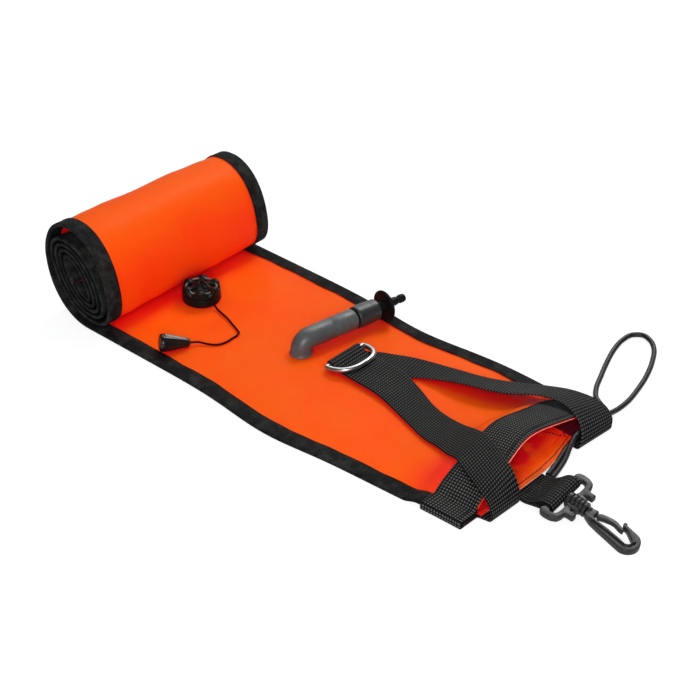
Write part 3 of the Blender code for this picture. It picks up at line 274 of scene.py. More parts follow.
def skin(name, rows, finish, ring=True, loop=False, sharp=40):
    """A mesh over rows of points, with UVs in metres: along the rows' middle, then across."""
    bm = bmesh.new()
    lines = [[bm.verts.new(point) for point in row] for row in rows]
    uv = bm.loops.layers.uv.new("weave")
    count = len(rows[0])
    middles = [sum(row, Vector()) / count for row in rows]
    ahead = distances(middles + middles[:1]) if loop else distances(middles)
    sample = rows[len(rows) // 3]
    across = distances(list(sample) + [sample[0]])
    for i in range(len(rows) if loop else len(rows) - 1):
        for j in range(count if ring else count - 1):
            after = (i + 1) % len(rows)
            beside = (j + 1) % count
            face = bm.faces.new((lines[i][j], lines[i][beside], lines[after][beside], lines[after][j]))
            for corner, (a, b) in zip(face.loops, ((i, j), (i, j + 1), (i + 1, j + 1), (i + 1, j))):
                corner[uv].uv = (ahead[a], across[b])
    if ring and not loop:
        for line, length in ((lines[0][::-1], 0.0), (lines[-1], ahead[-1])):
            face = bm.faces.new(line)
            for corner in face.loops:
                corner[uv].uv = (length, 0.0)
    bmesh.ops.remove_doubles(bm, verts=bm.verts, dist=1e-7)
    bmesh.ops.recalc_face_normals(bm, faces=bm.faces)
    return piece(name, bm, finish, sharp)


def strip(name, rows, thickness, finish, loop=False, round_steps=3):
    """A strip of cloth or webbing with rounded edges, from rows of points along its middle layer."""
    rings = []
    half = thickness / 2
    for i, row in enumerate(rows):
        before, after = neighbours(rows, i, loop)
        normals = []
        for j in range(len(row)):
            beside = row[min(j + 1, len(row) - 1)] - row[max(j - 1, 0)]
            normals.append((after[j] - before[j]).cross(beside).normalized())
        first_out = (row[0] - row[1]).normalized()
        last_out = (row[-1] - row[-2]).normalized()
        middle = list(row)
        middle[0] = row[0] - first_out * half
        middle[-1] = row[-1] - last_out * half
        tops = [point + normal * half for point, normal in zip(middle, normals)]
        bottoms = [point - normal * half for point, normal in zip(middle, normals)]
        turn_last = []
        turn_first = []
        for k in range(1, round_steps + 1):
            angle = math.pi * (0.5 - k / (round_steps + 1))
            turn_last.append(middle[-1] + (last_out * math.cos(angle) + normals[-1] * math.sin(angle)) * half)
            turn_first.append(middle[0] + (first_out * math.cos(angle) - normals[0] * math.sin(angle)) * half)
        rings.append(tops + turn_last + bottoms[::-1] + turn_first)
    return skin(name, rings, finish, loop=loop, sharp=60)


def fit(item, body, node):
    """The piece moves with this body and stands for this solid, which is hidden."""
    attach(item, body)
    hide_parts(node)


MOUTH_X = 160 * MM
TUBE_WIDTH = 157 * MM
CLOTH = 0.4 * MM
TAPE = 0.5 * MM
GAP = 0.3 * MM
BINDING_WIDTH = 12 * MM
RAW_EDGE = 0.8 * MM
WEBBING = 1.2 * MM
BAND_WIDTH = 30 * MM
ARCH_LENGTH = 95 * MM
ROLL_X = -178.5 * MM
ROLL_TURNS = 5.2
OUTER_HALF_HEIGHT = 37.6 * MM
STACK = 2 * TAPE + 2 * CLOTH + 3 * GAP
BACK_H = TAPE + GAP
FRONT_H = BACK_H + CLOTH + GAP
FRONT_TOP_H = FRONT_H + CLOTH
HALF = TUBE_WIDTH / 2
BASE_LIFT = 2 * WEBBING + 2 * GAP
ROLL_START_X = ROLL_X + 0.20 * OUTER_HALF_HEIGHT


def spiral_point(turn):
    """The floor side of the wound cloth after so many turns: a loose outer turn round a tighter core."""
    blend = smooth((turn - 0.5) / 0.6)
    inner = turn - 1

    def mix(outer, wound):
        return outer * (1 - blend) + wound * blend

    a = mix(31.4 * MM - 2 * MM * turn, 25.6 * MM - 4.5 * MM * inner)
    b = mix(OUTER_HALF_HEIGHT - 1.5 * MM * turn, 29.5 * MM - 3.85 * MM * inner)
    lean = mix(0.20, 0.36 + 0.05 * inner)
    centre_z = mix(OUTER_HALF_HEIGHT, 37 * MM)
    if turn < 1:
        loose = 3.2 * MM * math.sin(math.pi * turn) ** 1.5 - 3.0 * MM * math.exp(-((turn - 0.37) / 0.11) ** 2)
        a += loose
        b += loose
    angle = 2 * math.pi * turn
    across = powered(math.sin(angle), 0.90)
    upward = powered(math.cos(angle), 0.90)
    z = centre_z - b * upward
    return ROLL_X - a * across - lean * (z - centre_z), z


def side_shift(x):
    return 1.2 * MM - 6.2 * MM * math.exp(-((x - 4 * MM) / (45 * MM)) ** 2)


def arch_ramp(x):
    return smooth((x - MOUTH_X + ARCH_LENGTH) / ARCH_LENGTH)


def half_width(x):
    return HALF - 3 * MM * arch_ramp(x)


def panel_half(x):
    return half_width(x) - BINDING_WIDTH - 0.5 * MM


def base_height(x):
    return BASE_LIFT * smooth((x - MOUTH_X + BAND_WIDTH + 16 * MM) / (12 * MM))


def lift(x, y):
    """How far the front panel stands above the flat stack, y counted from the tube's centreline."""
    v = min(1.0, abs(y) / panel_half(x))
    pillow = 2 * MM * smooth((x - ROLL_START_X - 3 * MM) / (23 * MM)) * (1 - arch_ramp(x)) * (1 - v ** 4)
    bulge = 3.2 * MM * arch_ramp(x) ** 2 * math.exp(-((y + 2 * MM) / (24 * MM)) ** 2)
    return pillow + 17 * MM * arch_ramp(x) * (1 - v * v) ** 0.8 + bulge


def sag(x, y):
    """How far the back panel hangs down from the stack to the floor."""
    spare = panel_half(x) - abs(y)
    return BACK_H * smooth((x - ROLL_START_X) / (6 * MM)) * smooth(spare / (5 * MM))


def draw_back(x, y, height):
    near_mouth = smooth((x - MOUTH_X + 60 * MM) / (60 * MM))
    scoop = 3.5 * MM * math.exp(-((y - 4 * MM) / (26 * MM)) ** 2) if height > 8 * MM else 0.0
    scoop *= smooth((height / MM - 8) / 8)
    return 10 * MM * smooth(y / half_width(x)) * near_mouth + 0.25 * height + scoop


class Station:
    """One cross-section of the tube: a point of its floor-side path and the direction to its inside."""

    def __init__(self, x, z, normal, turn=None):
        self.x = x
        self.z = z
        self.normal = normal
        self.turn = turn
        self.half = half_width(x) if turn is None else HALF
        self.inside = self.half - BINDING_WIDTH - 0.5 * MM

    def place(self, y, h, height=0.0, forward=0.0):
        if self.turn is None:
            x = self.x - draw_back(self.x, y, height) + forward
            return Vector((x, y + side_shift(self.x), self.z + h))
        scale = 1 - 0.08 * (y / TUBE_WIDTH + 0.5)
        x = ROLL_START_X + (self.x - ROLL_START_X) * scale + self.normal[0] * h
        return Vector((x, y + side_shift(ROLL_START_X), self.z * scale + self.normal[1] * h))


def flat_station(x):
    return Station(x, base_height(x), (0, 1))


FLAT_COUNT = 158
flat_xs = [MOUTH_X + RAW_EDGE, MOUTH_X + 0.2 * MM, MOUTH_X - RAW_EDGE]
flat_xs += [MOUTH_X - RAW_EDGE + (ROLL_START_X + 2 * MM - MOUTH_X + RAW_EDGE) * i / FLAT_COUNT
            for i in range(1, FLAT_COUNT + 1)]
flat = [flat_station(x) for x in flat_xs]
turns = []
for whole, steps in enumerate((72, 56, 48, 44, 40, 8)):
    turns += [whole + i / steps for i in range(steps) if whole + i / steps < ROLL_TURNS]
turns.append(ROLL_TURNS)
roll = []
for turn in turns:
    x, z = spiral_point(turn)
    x_before, z_before = spiral_point(max(0.0, turn - 0.002))
    x_after, z_after = spiral_point(turn + 0.002)
    along = Vector((x_after - x_before, z_after - z_before)).normalized()
    roll.append(Station(x, z, (along[1], -along[0]) if turn > 0 else (0, 1), turn))
stations = flat + roll


def ripple(x, y, size, seed):
    """Slow uneven waves, from -1 to 1, over places that are about size apart."""
    return noise.noise(Vector((x / size, y / size, seed)))


# Soft folds pressed into the flat cloth: from x, y to x, y, half width and height, in millimetres.
FOLDS = ((-70, -58, 10, -60, 3.0, -0.5), (18, -61, 78, -63, 2.2, -0.6), (34, 52, 92, 60, 2.6, -0.7),
         (-30, 20, -24, 62, 4.0, -0.6), (-100, -62, -158, -48, 6.0, -0.8), (-118, 30, -160, 46, 7.0, -0.9),
         (60, -40, 118, -58, 8.0, -0.9), (-104, 8, -112, -36, 9.0, -0.4), (104, -22, 132, -60, 5.0, -0.8))


def fold_height(x, y):
    total = 0.0
    here = Vector((x / MM, y / MM))
    for x0, y0, x1, y1, width, height in FOLDS:
        first = Vector((x0, y0))
        run = Vector((x1, y1)) - first
        t = min(1.0, max(0.0, (here - first).dot(run) / run.length_squared))
        away = (here - first - run * t).length
        total += height * MM * math.exp(-(away / width) ** 2) * (1 - 0.5 * abs(2 * t - 1))
    return total


def pucker(x, y, inside):
    """Small gathers that the sewing makes beside a binding."""
    near = math.exp(-((inside - abs(y)) / (7 * MM)) ** 2) if abs(y) < inside else 0.0
    return 0.45 * MM * near * ripple(x, y, 10 * MM, 7.0)


COLUMNS = 36


def column_ys(station):
    edge = station.half - TAPE - GAP
    inner = [station.inside * math.sin(math.pi / 2 * (2 * i / COLUMNS - 1) * 0.92) / math.sin(math.pi * 0.46)
             for i in range(COLUMNS + 1)]
    return [-edge] + inner + [edge]


front_rows = []
for station in flat:
    row = []
    for y in column_ys(station):
        height = lift(station.x, y)
        room_above = min(1.0, height / (1.2 * MM)) * (1 - 0.7 * arch_ramp(station.x))
        soft = fold_height(station.x, y) + 0.22 * MM * ripple(station.x, y, 26 * MM, 1.0)
        soft = soft * room_above + pucker(station.x, y, station.inside) * min(1.0, height / (0.2 * MM))
        row.append(station.place(y, FRONT_H + CLOTH / 2 + height + soft, height))
    front_rows.append(row)
for station in roll:
    front_rows.append([station.place(y, FRONT_H + CLOTH / 2) for y in column_ys(station)])


def on_back(station, y, above=0.0):
    """A point of the back panel's middle layer, or above it: soft dents and a bowed edge near the mouth."""
    bow = max(0.0, 1 - ((y + 15 * MM) / (60 * MM)) ** 2)
    forward = 3 * MM * bow * smooth((station.x - MOUTH_X + 10 * MM) / (10 * MM))
    dents = 2.2 * MM * ripple(station.x, y, 17 * MM, 3.0) + 0.8 * MM * ripple(station.x, y, 8 * MM, 8.0)
    dents *= smooth((station.x - MOUTH_X + 50 * MM) / (20 * MM))
    dents *= smooth((station.inside - abs(y)) / (12 * MM))
    dents *= 1 - 0.7 * smooth((station.x - MOUTH_X + 5 * MM) / (5 * MM))
    h = BACK_H + CLOTH / 2 - sag(station.x, y) + max(0.0, dents)
    return station.place(y, h + above, 0, forward)


back_rows = [[on_back(station, y) for y in column_ys(station)] for station in flat]
for station in roll:
    row = []
    for y in column_ys(station):
        if station.turn < 1.0:
            shown = smooth(station.turn / 0.12) * smooth((1.0 - station.turn) / 0.1)
            middle = smooth((station.inside - abs(y)) / (14 * MM))
            along = station.turn * 210 * MM
            soft = 0.5 * MM + 1.1 * MM * ripple(along, y, 44 * MM, 11.0)
            soft += 0.4 * MM * ripple(along, y, 17 * MM, 4.0)
            row.append(station.place(y, BACK_H + CLOTH / 2 - max(-0.5 * MM, soft) * shown * middle))
        else:
            row.append(station.place(y, BACK_H + CLOTH / 2))
    back_rows.append(row)


def new_finish(name, **fixed):
    """A material with these fixed values on its shader, the shader and a first socket to build from."""
    made = bpy.data.materials.new(name)
    made.use_nodes = True
    shader = made.node_tree.nodes["Principled BSDF"]
    for socket, value in fixed.items():
        shader.inputs[socket.replace("_", " ")].default_value = value
    return made, shader, Shade(made.node_tree)


def feed(shader, bump=None, depth=0.0, **links):
    """Link what changes over the surface to the shader's sockets, and a height to its normal."""
    if bump is not None:
        normal = bump.node("Bump", values={"Strength": 1.0, "Distance": depth, "Height": bump})
        links["Normal"] = normal
    for socket, value in links.items():
        value.tree.links.new(value.socket, shader.inputs[socket.replace("_", " ")])


def uv_sides(start):
    """Distance along and across a piece in millimetres."""
    spot = start.node("UVMap", {"uv_map": "weave"})
    return spot.part(0) / MM, spot.part(1) / MM


def speckle(start, size, detail=2.0, rough=0.5):
    """Noise from 0 to 1 over places that are about size apart."""
    values = {"Scale": 1 / size, "Detail": detail, "Roughness": rough}
    values["Vector"] = start.node("TexCoord", output=3)
    return start.node("TexNoise", values=values)


def openness(start, reach, samples):
    """1 where a place is open, and less where another surface stands within this reach of it."""
    return start.node("AmbientOcclusion", {"samples": samples}, {"Distance": reach}, 1)


def orange_cloth(name, raw_edge, inner=0.0):
    """Coated cloth with painted shade in its colour: redder on steep sides, dark red where other surfaces
    stand near and, if inner is 1, redder further inside the mouth; if inner is 0, a painted strap shadow. Its
    cut edge frays pale.
    """
    made, shader, start = new_finish(name, Specular_IOR_Level=0.05, Subsurface_Weight=0.5,
                                     Subsurface_Scale=0.003, Subsurface_Radius=(1.0, 0.12, 0.05))
    along, across = uv_sides(start)
    place = start.node("NewGeometry", output=0)
    x = place.part(0)
    y = place.part(1)
    # Painted shade: steep sides are coloured redder, mixed with random redder patches.
    steep = 1 - start.node("NewGeometry", output=1).part(2).step(0.1, 0.92)
    patches = speckle(start, 45 * MM).step(0.35, 0.7)
    orange = (patches * 0.25 + steep * 0.75).between((0.93, 0.082, 0.002, 1), (1.0, 0.034, 0.002, 1))
    # Painted shade: dark red where another surface stands within 18 mm.
    narrow = 1 - openness(start, 18 * MM, 6).step(0.18, 0.85)
    with_occlusion_shade = narrow.between(orange, (1.0, 0.004, 0.008, 1))

    # Inside the mouth, painted shade: the cloth is redder and darker the further in, and dark red in the far
    # corner.
    in_mouth = x.step(0.100, 0.112) * inner
    depth = 0.164 - y * 0.26 - x
    mouth_shade = depth.step(0.005, 0.017) * in_mouth * (0.35 + 0.75 * speckle(start, 16 * MM).step(0.35, 0.6))
    with_mouth_shade = mouth_shade.between(with_occlusion_shade, (0.72, 0.004, 0.010, 1))
    corner = y.step(0.0425, 0.0435) * x.step(0.136, 0.138) * in_mouth
    with_corner_shade = corner.between(with_mouth_shade, (0.085, 0.002, 0.008, 1))

    # A redder patch of painted shadow beside the near strap, and the dark end of the cloth in the near
    # corner.
    off_x = x - 0.128
    off_y = y + 0.046
    strap_shadow = (1 - (off_x * off_x + off_y * off_y).math("SQRT").step(0.003, 0.034)) * (1 - inner) * 0.75
    with_strap_shadow = strap_shadow.between(with_corner_shade, (0.80, 0.004, 0.014, 1))
    near_end = (1 - y.step(-0.0590, -0.0580)) * x.step(0.150, 0.151)
    colour = near_end.between(with_strap_shadow, (0.012, 0.006, 0.006, 1))

    away_from_sides = (across * (math.pi / 152.6)).math("SINE").math("ABSOLUTE").step(0.30, 0.36)
    frayed = (1 - along.step(raw_edge, raw_edge + 0.15)) * away_from_sides
    weave = math.pi / 0.45
    thread = (along * weave).math("SINE") * (across * weave).math("SINE")
    soft = speckle(start, 9 * MM, 1.0) + thread * 0.015
    feed(shader, soft, 0.25 * MM, Base_Color=frayed.between(colour, (0.78, 0.50, 0.45, 1)),
         Roughness=0.42 + 0.12 * speckle(start, 3 * MM))
    return made


FRAY = 0.2
cloth = orange_cloth("orange_coated_nylon", FRAY)
inner_cloth = orange_cloth("orange_lower_nylon", FRAY, 1.0)
front_panel = strip("front_panel_cloth", front_rows, CLOTH, cloth, round_steps=1)
back_panel = strip("back_panel_cloth", back_rows, CLOTH, inner_cloth, round_steps=1)
fit(front_panel, "tube", "front_panel")
fit(back_panel, "tube", "back_panel")


# Edge bindings: soft black tape folded round both panels and sewn through near its inner edges, from the
# mouth all the way to the middle of the roll. A third, short one closes the rolled-in top end.
def tape_row(station, side, wave):
    """The tape's middle layer across the fold, from under the tube to its top."""
    radius = (STACK - TAPE) / 2
    outer = station.half - STACK / 2
    start_y = station.half - BINDING_WIDTH
    low = [(start_y + (outer - start_y) * i / 5, TAPE / 2) for i in range(5)]
    fold = []
    for i in range(9):
        angle = math.pi * (i / 8 - 0.5)
        fold.append((outer + radius * math.cos(angle), STACK / 2 + radius * math.sin(angle)))
    top_y = start_y + wave
    high = [(outer + (top_y - outer) * i / 5, STACK - TAPE / 2) for i in range(1, 6)]
    return [station.place(side * y, h) for y, h in low + fold + high]


def toned(colour, factor):
    """A colour made lighter or darker."""
    return (*(value * factor for value in colour), 1)


def tape_finish(name, colour):
    """Soft tape: fuzzy, faintly ribbed, paler in random worn patches, and darkened by painted shade where
    another surface stands near.
    """
    made, shader, start = new_finish(name, Specular_IOR_Level=0.10)
    along, across = uv_sides(start)
    ribs = (along * (math.pi / 0.9)).math("SINE").math("ABSOLUTE")
    fuzz = speckle(start, 0.9 * MM, 3.0, 0.7)
    worn = speckle(start, 7 * MM).step(0.3, 0.8)
    # Painted shade: the tape darkens where another surface stands within 4 mm.
    free_of_painted_shade = openness(start, 4 * MM, 4).step(0.25, 0.95)
    light = (fuzz * 0.85 + ribs * 0.15) * (0.75 + 0.5 * worn) * (0.15 + 0.85 * free_of_painted_shade)
    feed(shader, fuzz * 0.7 + ribs * 0.3, 0.35 * MM, Roughness=0.75 + 0.2 * fuzz,
         Base_Color=light.step(0.28, 0.80).between(toned(colour, 0.08), toned(colour, 3.0)))
    return made


binding = tape_finish("black_binding_tape", (0.0085, 0.0083, 0.0080))
for name, side, node, narrow in (("near_binding", -1, "near_edge_binding", 0.0),
                                 ("far_binding", 1, "far_edge_binding", 1.6)):
    rows = []
    for station in stations:
        wave = 0.0
        if station.turn is None:
            free = smooth((MOUTH_X - BAND_WIDTH - station.x) / (10 * MM))
            free *= smooth((station.x + 160 * MM) / (15 * MM))
            wave = free * (narrow + 0.9 * ripple(station.x, side * 20 * MM, 16 * MM, 2.0)) * MM
        rows.append(tape_row(station, side, wave))
    fit(strip(name, rows, TAPE, binding), "tube", node)

# A stitch's cross-sections: share of its pitch, then thickness and height off the cloth in thread radii.
STITCH_SHAPE = ((0.04, 0.45, -0.4), (0.16, 0.95, 0.35), (0.5, 1.0, 0.55), (0.68, 0.95, 0.35),
                (0.8, 0.45, -0.4))


def along_run(run, total, length):
    """The place on a run of sewing after this length, and the direction off the cloth there."""
    length = min(max(length, 0.0), total[-1])
    i = 0
    while i < len(total) - 2 and total[i + 1] < length:
        i += 1
    t = (length - total[i]) / max(total[i + 1] - total[i], 1e-9)
    return run[i][0].lerp(run[i + 1][0], t), run[i][1].lerp(run[i + 1][1], t).normalized()


def stitches(name, runs, pitch, thread, finish):
    """Rows of sewing: a run is a list of (point, direction off the cloth), a stitch is a rounded bar."""
    bm = bmesh.new()
    bm.loops.layers.uv.new("weave")
    for run in runs:
        total = distances([point for point, up in run])
        for count in range(int(total[-1] / pitch)):
            rings = []
            for share, size, height in STITCH_SHAPE:
                place = (count + share) * pitch
                middle, up = along_run(run, total, place)
                before = along_run(run, total, place - 0.1 * MM)[0]
                after = along_run(run, total, place + 0.1 * MM)[0]
                side_way = (after - before).cross(up).normalized()
                ring = []
                for k in range(6):
                    angle = math.tau * k / 6
                    out = side_way * math.cos(angle) + up * math.sin(angle)
                    ring.append(bm.verts.new(middle + up * height * thread + out * thread * size))
                rings.append(ring)
            for first, second in zip(rings, rings[1:]):
                for k in range(6):
                    bm.faces.new((first[k], first[(k + 1) % 6], second[(k + 1) % 6], second[k]))
            bm.faces.new(rings[0][::-1])
            bm.faces.new(rings[-1])
    bmesh.ops.recalc_face_normals(bm, faces=bm.faces)
    made = piece(name, bm, finish, 80)
    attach(made, "tube")


def grained(name, grain, depth, dark, light, dullness, spread, **fixed):
    """A finish whose colour, dullness and fine bumps follow one grain."""
    made, shader, start = new_finish(name, **fixed)
    grey = speckle(start, *grain)
    feed(shader, grey, depth, Base_Color=grey.between((*dark, 1), (*light, 1)),
         Roughness=dullness + spread * grey)
    return made


UP = Vector((0, 0, 1))
thread_finish = grained("black_sewing_thread", (0.25 * MM, 2.0), 0.05 * MM, (0.003, 0.003, 0.003),
                        (0.020, 0.020, 0.019), 0.45, 0.2, Specular_IOR_Level=0.15)
runs = []
for side in (-1, 1):
    run = []
    for station in flat:
        if station.x < MOUTH_X - BAND_WIDTH - 3 * MM:
            y = side * (station.half - BINDING_WIDTH + 2.9 * MM)
            run.append((station.place(y, STACK), UP))
    runs.append(run)
    run = []
    for station in roll:
        if 0.02 < station.turn < 1.0:
            y = side * (station.half - BINDING_WIDTH + 2.2 * MM)
            outward = station.place(y, 0) - station.place(y, MM)
            run.append((station.place(y, 0), outward.normalized()))
    runs.append(run)
stitches("binding_sewing", runs, 2.7 * MM, 0.2 * MM, thread_finish)

tail = [station for station in roll if station.turn > ROLL_TURNS - 0.16]
last = roll[-1]
end_rows = []
for i in range(13):
    y = (HALF - BINDING_WIDTH - GAP) * (2 * i / 12 - 1)
    line = [station.place(y, TAPE / 2) for station in tail]
    out = Vector((-last.normal[1], 0, last.normal[0]))
    middle = last.place(y, STACK / 2)
    across = last.place(y, STACK / 2) - last.place(y, TAPE / 2)
    for k in range(7):
        angle = math.pi * (k / 6 - 0.5)
        line.append(middle + out * (0.1 * MM + 0.45 * MM * math.cos(angle)) + across * math.sin(angle))
    line += [station.place(y, STACK - TAPE / 2) for station in tail[::-1]]
    end_rows.append(line)
fit(strip("top_end_binding_tape", end_rows, TAPE, binding), "tube", "top_end_binding")

# Baffle: two thin flaps of the same cloth, sewn in behind the mouth. Air that is blown in pushes them apart,
# and the air inside the tube then presses them shut.
lower_rows = []
upper_rows = []
for station in flat:
    if not MOUTH_X - 80 * MM < station.x < MOUTH_X - 5 * MM:
        continue
    closing = smooth((MOUTH_X - BAND_WIDTH - station.x) / (46 * MM))
    lower = []
    upper = []
    for i in range(25):
        y = 0.85 * station.inside * (2 * i / 24 - 1)
        height = lift(station.x, y)
        lower_h = on_back(station, y).z - station.z + CLOTH / 2 + GAP + 0.15 * MM
        shut = lower_h + 0.6 * MM
        hanging = FRONT_H + height - GAP - 0.15 * MM
        wave = 0.9 * MM * ripple(station.x, y, 17 * MM, 5.0) * closing * (1 - closing) * 4
        h = max(hanging + (shut - hanging) * closing - abs(wave), shut)
        lower.append(station.place(y, lower_h))
        upper.append(station.place(y, h, height))
    lower_rows.append(lower)
    upper_rows.append(upper)
flap_cloth = orange_cloth("orange_flap_nylon", -1, 1.0)
FLAP = 0.3 * MM
for name, rows, node in (("lower_flap", lower_rows, "baffle_lower"),
                         ("upper_flap", upper_rows, "baffle_upper")):
    made = strip(name, rows, FLAP, flap_cloth, round_steps=1)
    fit(made, "tube", node)


# Mouth band: ribbed nylon webbing sewn round the open mouth, over the bindings at the sides. The cloth's cut
# edge shows as a thin pale line in front of it.
def webbing_finish(name, colour, along_pitch, across_pitch):
    """Plain-woven webbing: rows of short raised floats, with painted highlight on their tops and painted
    shade in the grooves between them.
    """
    made, shader, start = new_finish(name, Specular_IOR_Level=0.08)
    along, across = uv_sides(start)
    row = (along / along_pitch).math("FRACT")
    column = (across / across_pitch).math("FRACT")
    raised = (row * math.pi).math("SINE") * (column * math.pi).math("SINE")
    fibre = speckle(start, 0.35 * MM, 2.0)
    worn = speckle(start, 12 * MM)
    # Painted highlight and shade: float tops lighter and grooves dark, with random fibre tone and worn
    # patches.
    light = raised.step(0.42, 0.85) * (0.3 + 0.6 * fibre + 0.5 * worn)
    feed(shader, raised ** 0.55 + 0.15 * fibre, 0.30 * MM, Roughness=0.72 - 0.12 * raised,
         Base_Color=light.between(toned(colour, 0.05), toned(colour, 5.0)))
    return made


band_webbing = webbing_finish("ribbed_band_webbing", (0.021, 0.021, 0.020), 2.1, 1.85)
band_xs = [MOUTH_X + 0.35 * MM - (BAND_WIDTH + 1.15 * MM) * i / 12 for i in range(13)]
band_stations = [flat_station(x) for x in band_xs]
TOP_STEPS = 48

# The band's way round the tube's side, in millimetres outwards and upwards.
side_turn = ((0.0, 0.6), (0.34, 0.5), (0.54, 0.26), (0.6, 0.0))


def band_place(station, index):
    """A point of the band's middle layer: over the top, the far side, underneath, the near side."""
    outside = station.half + GAP
    top = STACK + GAP
    side_steps = 2 * len(side_turn)
    if index <= TOP_STEPS:
        y = outside * (2 * index / TOP_STEPS - 1)
        height = lift(station.x, y)
        return station.place(y, max(top, FRONT_TOP_H + height + GAP) + WEBBING / 2, height)
    index -= TOP_STEPS + 1
    if index < side_steps or index >= side_steps + TOP_STEPS - 1:
        side = 1 if index < side_steps else -1
        step = index if side > 0 else 2 * side_steps + TOP_STEPS - 2 - index
        if step < side_steps // 2:
            out, up = side_turn[step]
            return station.place(side * (outside + out * MM), top + up * MM)
        out, up = side_turn[side_steps - 1 - step]
        return station.place(side * (outside + out * MM), -GAP - up * MM)
    y = outside * (1 - 2 * (index - side_steps + 1) / TOP_STEPS)
    return station.place(y, -GAP - WEBBING / 2)


RING_COUNT = 2 * TOP_STEPS + 4 * len(side_turn)
band_rows = [[band_place(station, index) for station in band_stations] for index in range(RING_COUNT)]
mouth_band = strip("mouth_band_webbing", band_rows, WEBBING, band_webbing, loop=True)
fit(mouth_band, "tube", "mouth_band")

runs = []
for x in (MOUTH_X - RAW_EDGE - 2.2 * MM, MOUTH_X - RAW_EDGE - BAND_WIDTH + 2.2 * MM):
    station = flat_station(x)
    run = []
    for i in range(61):
        y = (station.half - MM) * (2 * i / 60 - 1)
        height = lift(x, y)
        top = max(STACK + GAP, FRONT_TOP_H + height + GAP) + WEBBING
        slope = (lift(x, y + MM) - lift(x, y - MM)) / (2 * MM)
        run.append((station.place(y, top, height), Vector((0, -slope, 1)).normalized()))
    runs.append(run)
station = flat_station(MOUTH_X - 2.4 * MM)
runs.append([(on_back(station, (station.inside - MM) * (i / 30 - 1), CLOTH / 2 + 0.1 * MM), UP)
             for i in range(61)])
for corners in (((131, -51), (157, -51), (131, -32)), ((142.5, 33), (156.4, 38), (148, 47))):
    for (x0, y0), (x1, y1) in zip(corners, corners[1:]):
        run = []
        for i in range(25):
            x = (x0 + (x1 - x0) * i / 24) * MM
            y = (y0 + (y1 - y0) * i / 24) * MM
            run.append((on_back(flat_station(x), y, CLOTH / 2 + 0.8 * MM), UP))
        runs.append(run)
stitches("mouth_band_sewing", runs, 2.3 * MM, 0.34 * MM, thread_finish)


# Harness strap: one length of flat webbing, sewn under the mouth, brought over its edge, back along the tube
# to the D-ring, round the ring's bar and out again to the mouth's other side.
def cover(x, y):
    """What lies on top of the tube at a place seen from above."""
    flat_x = x
    for _ in range(6):
        across = y - side_shift(flat_x)
        height = lift(flat_x, across)
        flat_x = x + draw_back(flat_x, across, height)
    flat_x = min(flat_x, MOUTH_X)
    across = y - side_shift(flat_x)
    on_band = flat_x > MOUTH_X - BAND_WIDTH - 2 * MM
    top = FRONT_TOP_H + lift(flat_x, across)
    if on_band or abs(across) > panel_half(flat_x):
        top = max(STACK, top)
    if on_band:
        top = top + GAP + WEBBING
    return base_height(flat_x) + top


STRAP_COLUMNS = 8
HALF_WEB = WEBBING / 2
RING_WIRE = 3.6 * MM
BAR_Z = FRONT_TOP_H + 2 * MM + 2 * GAP + WEBBING + RING_WIRE / 2
BIGHT_RADIUS = RING_WIRE / 2 + GAP + HALF_WEB


def lying(near, far):
    """One line across the strap from (x, y, slack) to (x, y, slack), lying on what is under it."""
    row = []
    for i in range(STRAP_COLUMNS + 1):
        x, y, slack = (first + (second - first) * i / STRAP_COLUMNS for first, second in zip(near, far))
        row.append(Vector((x * MM, y * MM, cover(x * MM, y * MM) + GAP + HALF_WEB + slack * MM)))
    return row


def held(near, far):
    """One line across the strap from (x, y, z) to (x, y, z), clear of what is under it."""
    return [(Vector(near) + (Vector(far) - Vector(near)) * i / STRAP_COLUMNS) * MM
            for i in range(STRAP_COLUMNS + 1)]


# Heights in millimetres: under the tube, level with the bar's underside, and on top of the leg there.
LOW = HALF_WEB / MM
LEG = (BAR_Z - BIGHT_RADIUS) / MM
ON_LEG = LEG + (3 * HALF_WEB + GAP) / MM
UNDER = (MOUTH_X - BAND_WIDTH) / MM - 2
strap_rows = [held(near, far) for near, far in (
    ((UNDER, -57, LOW), (UNDER, -29, LOW)), ((164, -57, LOW), (165, -29.5, LOW)),
    ((168, -56.5, LOW + 0.6), (168.6, -30, LOW + 0.8)), ((168.8, -56.5, 3.5), (170, -30.5, 4.5)),
    ((167.6, -56, 7.5), (170, -31, 10)), ((165.2, -55, 11), (168, -31, 16.6)),
    ((162, -54, 12.6), (163.5, -29.5, 21.7)))]
strap_rows += [lying(near, far) for near, far in (
    ((156, -52.5, 1.8), (156.5, -26.5, 1.0)), ((147, -48.5, 0.6), (149, -22.5, 0.6)),
    ((136, -43.5, 0.4), (139, -17.5, 0.4)), ((126, -39, 1.0), (128, -13, 0.8)),
    ((116, -35, 1.4), (117, -8.5, 1.4)), ((105, -31, 1.4), (104, -3.5, 1.6)),
    ((90, -27, 1.2), (88, 1, 1.4)), ((72, -20, 1.2), (70, 7, 1.3)),
    ((54, -14, 1.3), (54, 14, 1.5)), ((44, -11, 1.5), (44, 18, 1.7)))]
strap_rows += [held(near, far) for near, far in (
    ((34, -9, ON_LEG), (34, 21.5, ON_LEG)), ((23, -8, ON_LEG), (22, 23, ON_LEG)),
    ((12, -7.5, ON_LEG), (11, 23, ON_LEG)), ((3, -7, ON_LEG), (3, 23, ON_LEG)))]
RING_PLACE = Vector((-10 * MM, 9.4 * MM, BAR_Z))
STRAP_HALF = 14.8
FOLD_Y = 8.6
STRAP_LOW_Y = FOLD_Y - STRAP_HALF
STRAP_HIGH_Y = FOLD_Y + STRAP_HALF
for x, height in ((0, -1.25), (-2, -0.8), (-4.5, 0.5), (-7, 2.0)):
    z = BAR_Z / MM + height
    strap_rows.append(held((x, STRAP_LOW_Y, z), (x, STRAP_HIGH_Y, z)))
